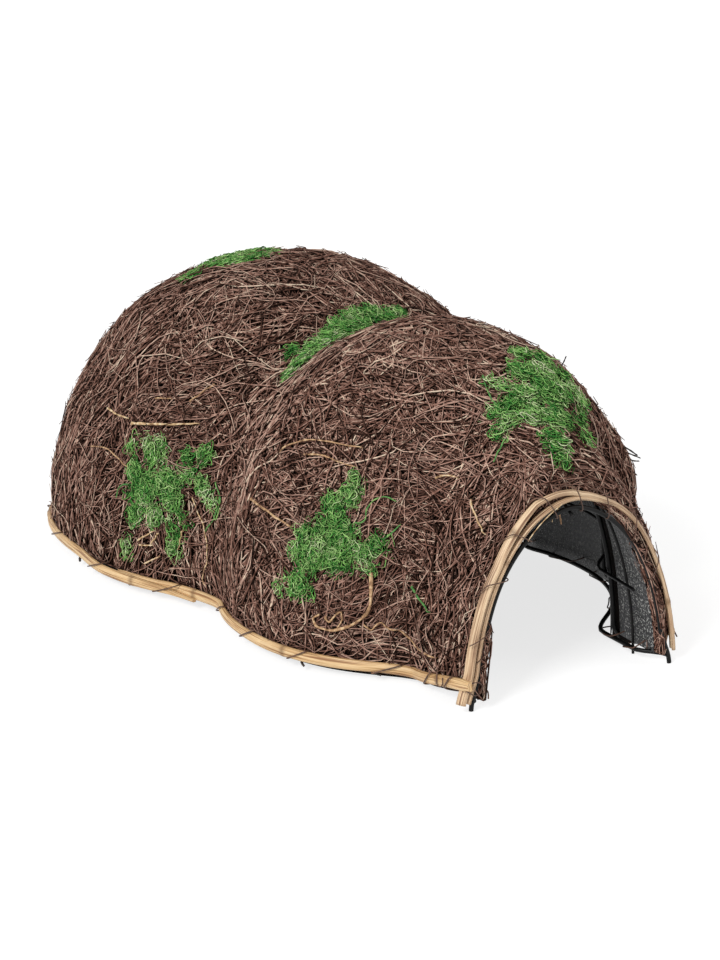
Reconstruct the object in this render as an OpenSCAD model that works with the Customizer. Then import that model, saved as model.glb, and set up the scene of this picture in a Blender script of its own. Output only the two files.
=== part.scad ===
// Hedgehog house: two brushwood domes over a welded wire frame, with a porch and split-cane rims.
// Millimetres. +Z is up, the entrance faces -Y, the origin is on the ground under the middle.

/* [Porch] */
// Outside width of the porch
porch_width = 176; // [152:1:204]
// Distance from the entrance to the foot of the front dome
porch_depth = 44; // [38:1:53]
// Height of the thatch over the entrance
porch_height = 154; // [132:1:180]
// Extra thickness of the thatch over the entrance arch
porch_lip = 10; // [6:1:14]
// How far the crown of the entrance leans to the left
porch_lean = 7; // [0:0.5:9]

/* [Domes] */
// Outside width of the front dome
front_width = 308; // [262:1:366]
// Length of the front dome
front_length = 264; // [240:1:300]
// Height of the front dome
front_height = 212; // [182:1:252]
// Outside width of the rear dome
rear_width = 374; // [318:1:440]
// Length of the rear dome
rear_length = 350; // [300:1:410]
// Height of the rear dome
rear_height = 223; // [188:1:266]
// Distance between the middles of the two domes
dome_spacing = 216.5; // [196:0.5:240]

/* [Thatch and liner] */
// Thickness of the brushwood thatch
thatch_thickness = 13; // [10:0.5:16]
// Thickness of the liner sheet
liner_thickness = 1.2; // [0.8:0.1:2]
// Thickness of the moss cushions
moss_thickness = 8; // [6:0.5:10]

/* [Wires] */
// Diameter of the hoops, back ribs and base wire
hoop_wire = 4; // [3.2:0.1:4.8]
// Diameter of the rails and the ridge wire
rail_wire = 3; // [2.4:0.1:3.6]
// Diameter of the thin hoop in the porch
porch_wire = 2.5; // [2:0.1:3]
// Height of the low rail
low_rail_height = 55; // [46:1:64]
// Height of the high rail
high_rail_height = 132; // [114:1:140]
// Height of the base wire
base_wire_height = 7; // [6:0.5:8]

/* [Split cane] */
// Height of the rim cane
rim_height = 7.5; // [6.5:0.25:9]
// Thickness of the rim cane
rim_thickness = 3.5; // [3:0.25:4.5]
// Height of the rim cane above the ground
rim_clear = 7; // [6:0.5:9]
// How far the rim cane lifts towards the jambs
rim_rise = 9; // [4:0.5:11]
// Length over which the rim canes lap at each waist
rim_lap = 74; // [60:1:90]
// Width of the arch canes
arch_width = 6.5; // [5.5:0.25:7.5]
// Thickness of the outer arch cane
arch_thickness = 2.4; // [2:0.1:3]
// How far the outer arch cane springs away at its kink
arch_kink = 5; // [0:0.5:6]

/* [Lashing] */
// Diameter of the lashing wire
lash_wire = 1; // [0.8:0.1:1.2]
// Turns of lashing round the entrance arch
arch_turns = 8; // [6:2:10]

/* [Hidden] */

// Clearances: between laid layers, between welded wires, and of hoops inside the liner
gap = 0.3;
weld_gap = 0.4;
hoop_gap = 1.4;

// Shape of the domes: powers of the curves and lengths of the blends
front_power = 2.2;
rear_power = 2.5;
arch_power = 2.2;
porch_power = 1.93;
ridge_power = 1.62;
flare_blend = 20;
front_fall = 14;

// Stations along the house, counted from the entrance
s1 = porch_depth + front_length / 2;
s2 = s1 + dome_spacing;
b1 = front_length / 2;
b2 = rear_length / 2;
a1 = front_width / 2;
a2 = rear_width / 2;
thatch_front = 3 + hoop_wire;
porch_station = porch_depth * 0.58;
throat_station = porch_depth + 5;
front_station = s1 - 30;
waist_station = s2 - 0.815 * b2;
middle_station = (waist_station + s2) / 2;
apse = PI * sqrt((a2 * a2 + b2 * b2) / 2);
edge = 2 * s2 + apse;

// The less the domes run into each other, the wider the crease between them is filled
dome_overlap = b1 + b2 - dome_spacing;
waist_blend = 70 * 90.5 / dome_overlap;
saddle_blend = 54 * 90.5 / dome_overlap;

// Depths below the outer skin
liner_out = thatch_thickness + gap;
liner_in = liner_out + liner_thickness;
hoop_depth = liner_in + hoop_gap + hoop_wire / 2;
thin_depth = hoop_depth + (hoop_wire - porch_wire) / 2;
base_step = hoop_wire + weld_gap + 0.2;
rail_step = (hoop_wire + rail_wire) / 2 + weld_gap;
inner_cane_depth = hoop_depth - hoop_wire / 2 - gap - 0.3 * arch_width;
outer_cane_depth = inner_cane_depth - 0.25 * arch_width - gap - (arch_width + arch_thickness) * 0.36;

// Heights of the rim
lash_step = 0.5 + lash_wire / 2;
rim_out = 0.2 + rim_thickness;

// The house is centred on its outermost pieces
rim_end = -6;
right_rim_end = 4;
front_most = -1 - (arch_width + arch_thickness) * 0.36 - lash_step - 0.3 - lash_wire / 2;
back_end = s2 + b2 + rim_out;
middle_y = (front_most + back_end) / 2;

rows = 9;
side_bays = 19;
rear_bays = 10;
apse_bays = 16;

function clamp01(t) = max(0, min(1, t));
function unit(v) = v / norm(v);
function flat(lists) = [for (list = lists) for (item = list) item];
function signed_pow(t, e) = sign(t) * pow(abs(t), e);
function lobe(s, centre, half, top, power) =
    top * pow(1 - pow(clamp01(abs(s - centre) / half), power), 1 / power);
function blend_max(a, b, k) = max(a, b) + pow(max(k - abs(a - b), 0), 2) / (4 * k);

// Outer half width and ridge height at a station
function half_width(s) =
    let (porch = s < s1 ? porch_width / 2 : 0)
    blend_max(blend_max(lobe(s, s1, b1, a1, front_power), porch, flare_blend),
              lobe(s, s2, b2, a2, rear_power), waist_blend);
function front_roof(s) = s < s1
    ? porch_height + (front_height - porch_height) * (1 - pow(1 - s / s1, ridge_power))
    : lobe(s, s1, b1 + front_fall, front_height, front_power);
function roof(s) = blend_max(front_roof(s), lobe(s, s2, b2, rear_height, 2.1), saddle_blend);
function lip(s) = porch_lip * pow(max(0, 1 - s / s1), 2);

// The porch is less square than the domes and leans to the left, both fading into the front dome
function smooth(t) = let (c = clamp01(t)) c * c * (3 - 2 * c);
function bow(s) = porch_power + (arch_power - porch_power) * smooth(s / (porch_depth * 2.3));
function lean(s) = porch_lean / porch_height * (1 - smooth(s / (porch_depth * 2.5)));

// Lower edge of the rim cane at an edge place, and of the thatch and liner above it
function rim_low(u) = rim_clear + rim_rise * (1 - smooth(min(u, edge - u) / (porch_depth * 1.4)));
function rim_top(u) = rim_low(u) + rim_height;
function hem(u) = rim_top(u) + lash_wire + 0.5 + gap;

// Foot and crown of the skin at edge place u, which runs from the left jamb round the back to
// the right jamb, at depth d below the skin; the frame, liner and thatch lining use frame = 1
function foot(u, d) =
    u <= s2 ? [-(half_width(u) - d), u]
    : u >= s2 + apse ? [half_width(edge - u) - d, edge - u]
    : let (a = 180 * (u - s2) / apse)
      [-(a2 - d) * signed_pow(cos(a), 2 / rear_power), s2 + (b2 - d) * pow(sin(a), 2 / rear_power)];
function crown(u, d, frame) =
    let (s = u <= s2 ? u : u >= s2 + apse ? edge - u : s2, z = roof(s) - frame * lip(s) - d)
    [-lean(s) * z, s, z];
function skin(u, v, d, frame) =
    let (f = foot(u, d), c = crown(u, d, frame), p = 2 / bow(c[1]),
         k = pow(max(0, cos(v)), p), z = c[2] * pow(sin(v), p))
    [f[0] * k - lean(c[1]) * z, c[1] + (f[1] - c[1]) * k, z];
function rise(u, d, frame, z) =
    let (c = crown(u, d, frame))
    asin(pow(z / c[2], bow(c[1]) / 2));
function inward(u, v, d, frame) =
    let (e = 0.5, vv = max(1, min(88, v)),
         along = skin(u + e, vv, d, frame) - skin(u - e, vv, d, frame),
         up = skin(u, vv + e, d, frame) - skin(u, vv - e, d, frame))
    unit(cross(up, along)) * -1;

// Level point off the edge at depth d: out is measured square to the edge, inward if negative
function edge_at(u, d, out, z) =
    let (f = foot(u, d), t = foot(u + 0.5, d) - foot(u - 0.5, d), n = [-t[1], t[0]] / norm(t))
    [f[0] + n[0] * out, f[1] + n[1] * out, z];

// Places along the edge, close together at the porch and flare and wide apart elsewhere
function edge_places(from) =
    let (flare = s1 - b1 / 2,
         side = concat([for (i = [0:11]) from + (flare - from) * i / 12],
                       [for (i = [0:11]) flare + (s2 - flare) * i / 12]))
    concat(side, [for (i = [0:apse_bays]) s2 + apse * i / apse_bays],
           [for (i = [len(side) - 1:-1:0]) edge - side[i]]);

module place() translate([0, -middle_y, 0]) children();

// Swept solid: rings of equal count, side faces as triangles, flat ends
module sweep(rings) {
    m = len(rings[0]);
    n = len(rings);
    polyhedron(
        points = flat(rings),
        faces = concat(
            [[for (j = [m - 1:-1:0]) j]],
            flat([for (i = [0:n - 2], j = [0:m - 1])
                let (a = i * m + j, b = i * m + (j + 1) % m)
                [[a, b, b + m], [a, b + m, a + m]]]),
            [[for (j = [0:m - 1]) (n - 1) * m + j]]));
}

function tangent(path, i) = unit(path[min(i + 1, len(path) - 1)] - path[max(i - 1, 0)]);
function round_section(r, sides) = [for (j = [0:sides - 1]) r * [cos(360 * j / sides), sin(360 * j / sides)]];
function cane_section(w, t) =
    [[w / 2, 0], [w / 2, t * 0.5], [w * 0.34, t * 0.88], [w * 0.1, t],
     [-w * 0.1, t], [-w * 0.34, t * 0.88], [-w / 2, t * 0.5], [-w / 2, 0]];
function ring(p, t, out, section) =
    let (n = unit(out - (out * t) * t), b = cross(t, n))
    [for (q = section) p + q[0] * b + q[1] * n];

// Round wire along a path; outs gives a direction that is never along the path
module wire(path, outs, d, sides) {
    sweep([for (i = [0:len(path) - 1])
        ring(path[i], tangent(path, i), outs[i], round_section(d / 2, sides))]);
}

// Vaulted shell between two depths, from one station to another, with or without the round back
function shell_edges(s_from, s_to, bays, back) =
    let (left = [for (i = [0:bays]) s_from + (s_to - s_from) * i / bays])
    concat(left,
           back ? [for (i = [1:apse_bays - 1]) s2 + apse * i / apse_bays] : [],
           [for (i = [bays:-1:0]) edge - left[i]]);
function shell_points(us, bays, d, frame) = concat(
    flat([for (u = us)
        let (v0 = rise(u, d, frame, hem(u)))
        [for (j = [0:rows - 1]) skin(u, v0 + (90 - v0) * j / rows, d, frame)]]),
    [for (i = [0:bays]) crown(us[i], d, frame)]);

module shell(s_from, s_to, bays, back, d_out, out_frame, d_in) {
    us = shell_edges(s_from, s_to, bays, back);
    count = len(us);
    size = count * rows + bays + 1;
    function top(k) = count * rows + (k <= bays ? k : k >= count - 1 - bays ? count - 1 - k : bays);
    function at(k, j) = j < rows ? k * rows + j : top(k);
    spans = [for (k = [0:count - 2]) if (back || k != bays) k];
    skin_faces = flat([for (k = spans, j = [0:rows - 1])
        concat([[at(k, j), at(k + 1, j), at(k + 1, j + 1)]],
               at(k, j + 1) == at(k + 1, j + 1) ? [] : [[at(k, j), at(k + 1, j + 1), at(k, j + 1)]])]);
    front = concat([for (j = [0:rows]) at(0, j)], [for (j = [rows - 1:-1:0]) at(count - 1, j)]);
    rear = concat([for (j = [0:rows]) at(bays + 1, j)], [for (j = [rows - 1:-1:0]) at(bays, j)]);
    rims = concat([front], back ? [] : [rear]);
    polyhedron(
        points = concat(shell_points(us, bays, d_out, out_frame), shell_points(us, bays, d_in, 1)),
        faces = concat(
            skin_faces,
            [for (f = skin_faces) [f[2] + size, f[1] + size, f[0] + size]],
            flat([for (k = spans)
                let (a = at(k + 1, 0), b = at(k, 0))
                [[a, b, b + size], [a, b + size, a + size]]]),
            flat([for (r = rims, i = [0:len(r) - 2])
                let (a = r[i], b = r[i + 1])
                [[a, b, b + size], [a, b + size, a + size]]])));
}

// Upright end of a wire that stands on the ground
function peg(p) = [[p[0], p[1], 0], [p[0], p[1], 4]];
function peg_down(p) = [[p[0], p[1], 4], [p[0], p[1], 0]];

// Hoop standing on the ground across the house at a station
module hoop(s, d, depth, rings) {
    arch = [for (i = [1:rings - 1])
        let (v = 180 * i / rings)
        v < 90 ? skin(s, v, depth, 1) : skin(edge - s, 180 - v, depth, 1)];
    path = concat(peg(skin(s, 0, depth, 1)), arch, peg_down(skin(edge - s, 0, depth, 1)));
    place() wire(path, [for (p = path) [0, 1, 0]], d, 6);
}

// Back rib rising from the ground at an edge place
module rib(u) {
    top = rise(u, hoop_depth, 1, high_rail_height) + 7;
    path = concat(peg(skin(u, 0, hoop_depth, 1)), [for (i = [1:10]) skin(u, top * i / 10, hoop_depth, 1)]);
    side = unit(skin(u + 1, 0, hoop_depth, 1) - skin(u - 1, 0, hoop_depth, 1));
    place() wire(path, [for (p = path) side], hoop_wire, 6);
}

// Level rail welded inside the hoops, from station s_from round the back to the other side
module rail(s_from, z) {
    path = [for (u = edge_places(s_from))
        let (v = rise(u, hoop_depth, 1, z))
        skin(u, v, hoop_depth, 1) + rail_step * inward(u, v, hoop_depth, 1)];
    place() wire(path, [for (p = path) [0, 0, 1]], rail_wire, 6);
}

module base_wire() {
    path = [for (u = edge_places(rim_end / 2)) edge_at(u, hoop_depth, -base_step, base_wire_height)];
    color("#161616") place() wire(path, [for (p = path) [0, 0, 1]], hoop_wire, 6);
}

module entrance_hoop() color("#161616") hoop(0, hoop_wire, hoop_depth, 22);
module porch_hoop() color("#161616") hoop(porch_station, porch_wire, thin_depth, 22);
module throat_hoop() color("#161616") hoop(throat_station, hoop_wire, hoop_depth, 22);
module front_hoop() color("#161616") hoop(front_station, hoop_wire, hoop_depth, 24);
module waist_hoop() color("#161616") hoop(waist_station, hoop_wire, hoop_depth, 24);
module middle_hoop() color("#161616") hoop(middle_station, hoop_wire, hoop_depth, 26);
module rear_hoop() color("#161616") hoop(s2, hoop_wire, hoop_depth, 26);
module left_rib() color("#161616") rib(s2 + apse * 0.25);
module right_rib() color("#161616") rib(s2 + apse * 0.75);
module low_rail() color("#161616") rail(12, low_rail_height);
module high_rail() color("#161616") rail(front_station - 8, high_rail_height);

// Ridge wire: under the hoop crowns, then down the back outside the rails to the ground
module ridge_wire() {
    steps = 30;
    mid = s2 + apse / 2;
    // Crown line of the hoops, as [station, height], and the step below it
    line = concat(
        [for (i = [0:steps])
            let (s = -3 + (s2 + 3) * i / steps)
            [s, crown(s, hoop_depth, 1)[2], rail_step]],
        [for (i = [1:13])
            let (p = skin(mid, 90 * (1 - i / 14), hoop_depth, 1))
            [p[1], p[2], i == 1 ? rail_step : i == 2 ? rail_step * 0.6 : weld_gap]]);
    bent = [for (i = [0:len(line) - 1])
        let (a = line[max(i - 1, 0)], b = line[min(i + 1, len(line) - 1)],
             t = unit([b[0] - a[0], b[1] - a[1]]), n = [t[1], -t[0]])
        [-lean(line[i][0]) * line[i][1], line[i][0] + n[0] * line[i][2], line[i][1] + n[1] * line[i][2]]];
    path = concat(bent, peg_down(skin(mid, 0, hoop_depth + weld_gap, 1)));
    color("#161616") place() wire(path, [for (p = path) [1, 0, 0]], rail_wire, 6);
}

// The front liners share the stations of the front thatch and leave one bay open at the throat
front_end = waist_station - gap / 2;
function front_grid(i) = thatch_front + (front_end - thatch_front) * i / side_bays;
module porch_liner() color("#2b2b2b") place()
    shell(thatch_front, front_grid(3), 3, false, liner_out, 1, liner_in);
module front_liner() color("#2b2b2b") place()
    shell(front_grid(4), front_end, side_bays - 4, false, liner_out, 1, liner_in);
module rear_liner() color("#2b2b2b") place()
    shell(waist_station + gap / 2, s2, rear_bays, true, liner_out, 1, liner_in);
module front_thatch() color("#5b4234") place()
    shell(thatch_front, front_end, side_bays, false, 0, 0, thatch_thickness);
module rear_thatch() color("#5b4234") place()
    shell(waist_station + gap / 2, s2, rear_bays, true, 0, 0, thatch_thickness);

// Rim cane along the edge between two places; step is how far it lies outside its seat, and
// low is how much of its height is left, both as functions of the distance from the lap
lap_gap = 0.8;
lap_front = waist_station + 4;
lap_back = lap_front + rim_lap;
function rear_step(u) =
    let (s = min(u, edge - u))
    (rim_thickness + lap_gap) * (1 - smooth((s - lap_back - 10) / 50));
function rear_left(u) =
    let (s = min(u, edge - u))
    0.3 + 0.7 * smooth((s - lap_front) / (rim_lap * 0.8));
function rim_ring(u, step, left) =
    let (h = rim_height * left, z = rim_low(u) + h / 2,
         p = edge_at(u, 0, 0.2 + step, z),
         t = unit(edge_at(u + 1, 0, 0.2 + step, z) - edge_at(u - 1, 0, 0.2 + step, z)))
    ring(p, t, [-t[1], t[0], 0], cane_section(h, rim_thickness));

module side_rim_cane(front) {
    steps = 28;
    place() sweep([for (i = [0:steps])
        let (u = front + (lap_back - front) * i / steps)
        rim_ring(u, 0, i > steps - 2 ? 0.8 : 1)]);
}
module left_rim_cane() color("#c9a063") side_rim_cane(rim_end);
module right_rim_cane() color("#c9a063") mirror([1, 0, 0]) side_rim_cane(right_rim_end);
module rear_rim_cane() {
    steps = 54;
    color("#d0aa6c") place() sweep([for (i = [0:steps])
        let (u = lap_front + (edge - 2 * lap_front) * i / steps)
        rim_ring(u, rear_step(u), rear_left(u))]);
}

// Entrance arch: place at angle v from the left foot (0) over the crown (90) to the right (180)
function arch_at(v, d, y) =
    let (p = v <= 90 ? skin(0, v, d, 1) : skin(edge, 180 - v, d, 1)) [p[0], y, p[2]];
function arch_out(v) =
    let (p = arch_at(v - 0.5, 5, 0), q = arch_at(v + 0.5, 5, 0), t = unit(q - p))
    [-t[2], 0, t[0]];
function kink(v) = arch_kink * clamp01(1 - abs(v - 62) / 24);
function outer_depth(v) = outer_cane_depth - kink(v);

module arch_cane(depths, lean, y, w, t) {
    steps = 30;
    angles = [for (i = [0:steps]) 3 + 174 * i / steps];
    path = [for (i = [0:steps]) arch_at(angles[i], depths[i], y)];
    place() sweep([for (i = [0:steps])
        let (tan = tangent(path, i), out = arch_out(angles[i]),
             n = cos(lean) * out + sin(lean) * [0, -1, 0])
        ring(path[i] - n * t / 2, tan, n, cane_section(w, t))]);
}
module inner_arch_cane() color("#d2ab78")
    arch_cane([for (i = [0:30]) inner_cane_depth], 0, -0.5, arch_width * 0.85, arch_width * 0.5);
module outer_arch_cane() color("#b3906a")
    arch_cane([for (i = [0:30]) outer_depth(3 + 5.8 * i)], 45, -1, arch_width, arch_thickness);

// Rounded closed-up path of one lashing turn, cut from straight runs by quarter points
function eased(path) = concat(
    [path[0]],
    flat([for (i = [1:len(path) - 2])
        let (a = norm(path[i] - path[i - 1]), b = norm(path[i + 1] - path[i]), c = min(1.4, 0.45 * min(a, b)))
        [path[i] + (path[i - 1] - path[i]) * c / a, path[i] + (path[i + 1] - path[i]) * c / b]]),
    [path[len(path) - 1]]);

// Least distance between points of a path that are more than skip apart along it
function self_gap(path, skip) =
    min([for (i = [0:len(path) - 1 - skip], j = [i + skip:len(path) - 1]) norm(path[i] - path[j])]);

// Frames carried along a path without twist
function carried(path) =
    let (n0 = unit(cross(tangent(path, 0), [0.3, 0.2, 0.9])))
    [for (i = 0, n = n0; i < len(path);
          i = i + 1,
          t = i < len(path) ? tangent(path, i) : n,
          n = i < len(path) ? unit(n - (n * t) * t) : n) n];

module lashing(path, label) {
    echo(str(label, " least gap to itself ", self_gap(path, 6) - lash_wire, " mm"));
    wire(path, carried(path), lash_wire, 6);
}

// Rim lashing: turns fall between the hoop feet; each goes up outside, over, down inside and under
rim_bays = [[0, porch_station, 1], [porch_station, throat_station, 1], [throat_station, front_station, 2],
            [front_station, waist_station, 2], [waist_station, middle_station, 1], [middle_station, s2, 1],
            [s2, s2 + apse / 4, 2], [s2 + apse / 4, s2 + apse / 2, 2]];
half_turns = flat([for (b = rim_bays)
    [for (i = [0:b[2] - 1]) let (l = (b[1] - b[0]) / b[2]) [b[0] + l * (i + 0.3), b[0] + l * (i + 0.62)]]]);
rim_turns = concat(half_turns,
    [for (i = [len(half_turns) - 1:-1:0]) [edge - half_turns[i][1], edge - half_turns[i][0]]]);
function rim_face(u) =
    let (s = min(u, edge - u))
    rim_out + lash_step + (s > lap_front - 6 ? rear_step(u) : 0);
lash_in = base_step + hoop_wire / 2 + lash_step;
function turn_points(u0, u1, u2) =
    let (um = (u0 + u1) / 2)
    [edge_at(u0, 0, rim_face(u0), rim_low(u0) - lash_step),
     edge_at(um, 0, max(rim_face(u0), rim_face(um), rim_face(u1)), rim_low(um) + rim_height / 2),
     edge_at(u1, 0, rim_face(u1), rim_top(u1) + lash_step),
     edge_at(u1, 0, 0, rim_top(u1) + lash_step),
     edge_at(u1, hoop_depth, -lash_in, base_wire_height + hoop_wire / 2 + lash_step),
     edge_at((u1 + u2) / 2, hoop_depth, -lash_in - 0.6, base_wire_height),
     edge_at(u2, hoop_depth, -lash_in,
             base_wire_height - hoop_wire / 2 - lash_step - 0.22 * (rim_low(u2) - rim_clear))];
module rim_lashing() {
    n = len(rim_turns);
    raw = flat([for (i = [0:n - 1])
        let (t = rim_turns[i], next = i < n - 1 ? rim_turns[i + 1][0] : t[1] + 2)
        turn_points(t[0], t[1], next)]);
    color("#4a332a") mirror([1, 0, 0]) place() lashing(eased(raw), "rim lashing");
}

// Arch lashing: turns round both arch canes and the entrance hoop
module arch_lashing() {
    span = 140 / arch_turns;
    front_y = -1 - (arch_width + arch_thickness) * 0.36 - lash_step;
    back_y = max(hoop_wire / 2, arch_width * 0.43, (arch_width + arch_thickness) * 0.36 - 1) + lash_step;
    raw = flat([for (i = [0:arch_turns - 1])
        let (v0 = 20 + span * i, v1 = v0 + span * 0.35, v2 = v0 + span * 0.7,
             inner = hoop_depth + hoop_wire / 2 + lash_step,
             reach = (arch_width + arch_thickness) * 0.36 + lash_step)
        [arch_at(v0, outer_depth(v0) - reach, front_y + 2),
         arch_at(v0 + span * 0.1, outer_depth(v0), front_y - 0.3),
         arch_at(v1, inner, front_y + 0.6),
         arch_at(v1, inner, back_y),
         arch_at(v2, outer_depth(v2) - reach, back_y)]]);
    color("#4a332a") place() lashing(eased(raw), "arch lashing");
}

// Moss cushion laid on the skin: centre, half sizes along the house and across, and its seat gap
function outside(p) =
    let (s = p[1], z = max(0, p[2]), x = abs(p[0] + lean(s) * z))
    s <= s2
    ? pow(x / half_width(s), bow(s)) + pow(z / roof(s), bow(s)) - 1
    : let (r = pow(pow(x / a2, rear_power) + pow((s - s2) / b2, rear_power), 1 / rear_power))
      pow(r, arch_power) + pow(z / rear_height, arch_power) - 1;
function drop(p, n, near, far, count) =
    let (m = (near + far) / 2)
    count == 0 ? p + n * m
    : outside(p + n * m) > 0 ? drop(p, n, m, far, count - 1)
    : drop(p, n, near, m, count - 1);
function slope(p) =
    let (e = 0.5, f = function (d) outside(p + d) - outside(p - d))
    unit([f([e, 0, 0]), f([0, e, 0]), f([0, 0, e])]);

module moss(at, half_l, half_w, seat, phase) {
    turns = 12;
    rounds = 3;
    centre = drop(at, slope(at), 40, -60, 24);
    n = slope(centre);
    across = unit(cross(n, [0, 1, 0]));
    along = cross(across, n);
    function edge_of(a) = 1 + 0.16 * sin(3 * a + phase) + 0.09 * sin(5 * a - 2 * phase);
    function spot(i, j) =
        let (a = 360 * j / turns, r = i / rounds * edge_of(a),
             q = centre + along * (half_l * r * cos(a)) + across * (half_w * r * sin(a)))
        drop(q, n, 60, -90, 24);
    function over(i, j) =
        let (p = spot(i, j), r = i / rounds)
        p + slope(p) * (seat + moss_thickness * (0.12 + 0.88 * sqrt(max(0, 1 - r * r))));
    function under(i, j) = let (p = spot(i, j)) p + slope(p) * seat;
    m = turns;
    size = 1 + rounds * m;
    cap = concat(
        [for (j = [0:m - 1]) [0, 1 + (j + 1) % m, 1 + j]],
        flat([for (i = [1:rounds - 1], j = [0:m - 1])
            let (a = 1 + (i - 1) * m + j, b = 1 + (i - 1) * m + (j + 1) % m)
            [[a, b, b + m], [a, b + m, a + m]]]));
    rim = 1 + (rounds - 1) * m;
    place() polyhedron(
        points = concat([over(0, 0)], [for (i = [1:rounds], j = [0:m - 1]) over(i, j)],
                        [under(0, 0)], [for (i = [1:rounds], j = [0:m - 1]) under(i, j)]),
        faces = concat(
            cap,
            [for (f = cap) [f[2] + size, f[1] + size, f[0] + size]],
            flat([for (j = [0:m - 1])
                let (a = rim + j, b = rim + (j + 1) % m)
                [[a, b, b + size], [a, b + size, a + size]]])));
}

module moss_left_rear() color("#2f7d33") moss([-a2 * 0.85, s2 - b2 * 0.57, 76], 44, 43, 1.1, 20);
module moss_left_front() color("#2f7d33") moss([-a1 * 0.8, s1 - b1 * 0.56, 95], 40, 43, 0.8, 75);
module moss_saddle() color("#2f7d33") moss([-26, waist_station + 9, 187], 24, 62, 2.2, 130);
module moss_porch() color("#2f7d33") moss([24, s1 - b1 * 0.76, 180], 54, 42, 1.5, 200);
module moss_crown() color("#2f7d33") moss([-12, s2 + 68, rear_height - 6], 34, 44, 1.1, 255);
module moss_right_rear() color("#2f7d33") moss([a2 * 0.82, s2 - b2 * 0.1, 92], 44, 38, 0.9, 310);
module moss_right_front() color("#2f7d33") moss([a1 * 0.86, s1 + b1 * 0.15, 84], 36, 38, 0.9, 350);

base_wire();
entrance_hoop();
porch_hoop();
throat_hoop();
front_hoop();
waist_hoop();
middle_hoop();
rear_hoop();
left_rib();
right_rib();
ridge_wire();
low_rail();
high_rail();
porch_liner();
front_liner();
rear_liner();
front_thatch();
rear_thatch();
left_rim_cane();
right_rim_cane();
rear_rim_cane();
inner_arch_cane();
outer_arch_cane();
rim_lashing();
arch_lashing();
moss_left_rear();
moss_left_front();
moss_saddle();
moss_porch();
moss_crown();
moss_right_rear();
moss_right_front();
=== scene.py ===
"""Hedgehog house: brushwood, moss, split cane and a liner over a welded wire frame.

Laid out as a Blender add-on and run as a script. The shape functions work in millimetres along
the house, as the part's source does; every mesh is in metres, in the frame of the CAD model.
"""

import math

import bmesh
import bpy
import numpy as np
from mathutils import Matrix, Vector
from mathutils.bvhtree import BVHTree


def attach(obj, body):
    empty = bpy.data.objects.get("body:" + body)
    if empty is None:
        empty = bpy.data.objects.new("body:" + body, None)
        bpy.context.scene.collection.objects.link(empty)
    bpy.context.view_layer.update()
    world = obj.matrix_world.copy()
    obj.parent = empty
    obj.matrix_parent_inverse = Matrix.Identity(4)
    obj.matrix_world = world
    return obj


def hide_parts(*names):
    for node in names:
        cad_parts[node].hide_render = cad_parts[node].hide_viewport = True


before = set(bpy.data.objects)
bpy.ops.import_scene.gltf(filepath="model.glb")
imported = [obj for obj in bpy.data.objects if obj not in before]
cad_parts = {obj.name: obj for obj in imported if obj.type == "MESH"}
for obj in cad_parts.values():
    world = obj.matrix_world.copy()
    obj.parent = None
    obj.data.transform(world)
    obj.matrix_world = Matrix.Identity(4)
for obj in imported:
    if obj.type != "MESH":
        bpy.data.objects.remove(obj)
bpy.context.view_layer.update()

bl_info = {
    "name": "Hedgehog house",
    "version": (1, 0, 0),
    "blender": (4, 5, 0),
    "location": "View3D > Sidebar > Hedgehog house",
    "description": "Builds the brushwood, moss, cane, liner and wires of a hedgehog house",
    "category": "Object",
}

# Sizes of the part's source, in millimetres
PORCH_WIDTH, PORCH_DEPTH, PORCH_HEIGHT, PORCH_LIP, PORCH_LEAN = 176.0, 44.0, 154.0, 10.0, 7.0
FRONT_WIDTH, FRONT_LENGTH, FRONT_HEIGHT = 308.0, 264.0, 212.0
REAR_WIDTH, REAR_LENGTH, REAR_HEIGHT, DOME_SPACING = 374.0, 350.0, 223.0, 216.5
THATCH, LINER, HOOP_WIRE, RAIL_WIRE, PORCH_WIRE = 13.0, 1.2, 4.0, 3.0, 2.5
LOW_RAIL, HIGH_RAIL, BASE_HEIGHT = 55.0, 132.0, 7.0
RIM_HEIGHT, RIM_THICK, RIM_CLEAR, RIM_LAP = 7.5, 3.5, 7.0, 74.0
ARCH_WIDTH, ARCH_THICK = 6.5, 2.4
LASH_WIRE, ARCH_TURNS = 1.0, 8
GAP, WELD_GAP, HOOP_GAP, LAP_GAP, RIM_GAP = 0.3, 0.4, 1.4, 0.8, 0.2
FRONT_POWER, REAR_POWER, ARCH_POWER, PORCH_POWER = 2.2, 2.5, 2.2, 1.93
RIDGE_POWER, REAR_RIDGE_POWER = 1.62, 2.1
FLARE_BLEND, WAIST_BLEND, SADDLE_BLEND, FRONT_FALL = 20.0, 70.0, 54.0, 14.0
MM = 0.001

# Drawn a few millimetres off the CAD model, as in the photograph
# How far out the legs and the left foot of the entrance arch stand, and the bend of its outer cane
LEGS_OUT, FOOT_OUT, ARCH_KINK = 4.5, 6.0, 6.5
# How far the left rim reaches past the jamb, how the rims lift and dip there, and where the right one ends
RIM_AHEAD, RIM_LIFT, RIM_LIFT_RUN, RIGHT_RIM_END = 12.0, 13.0, 72.0, 9.0
RIM_DIP, RIM_DIP_STATION, RIM_DIP_RUN = 2.5, 48.0, 24.0
# The drawn share of a wire's thickness, the splay of the hoop feet and the height over which they splay, and
# how far out the base wire's ends bend and over what length
WIRE_SHARE, HOOP_SPLAY, SPLAY_HEIGHT, BASE_ENDS_OUT, BASE_ENDS_RUN = 0.8, 7.0, 14.0, 13.0, 20.0
# Lowest height of a hoop's middle line, and how far above the ground the liners of domes and porch end
LOWEST_WIRE, LINER_FOOT, PORCH_LINER_FOOT = 0.8, 3.0, 7.0
# A thick tuft of twigs on the right flank of the front dome: its place, reach and height
TUFT_X, TUFT_STATION, TUFT_Z, TUFT_REACH, TUFT_HEIGHT = 104.0, 90.0, 114.0, 30.0, 6.5

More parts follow.
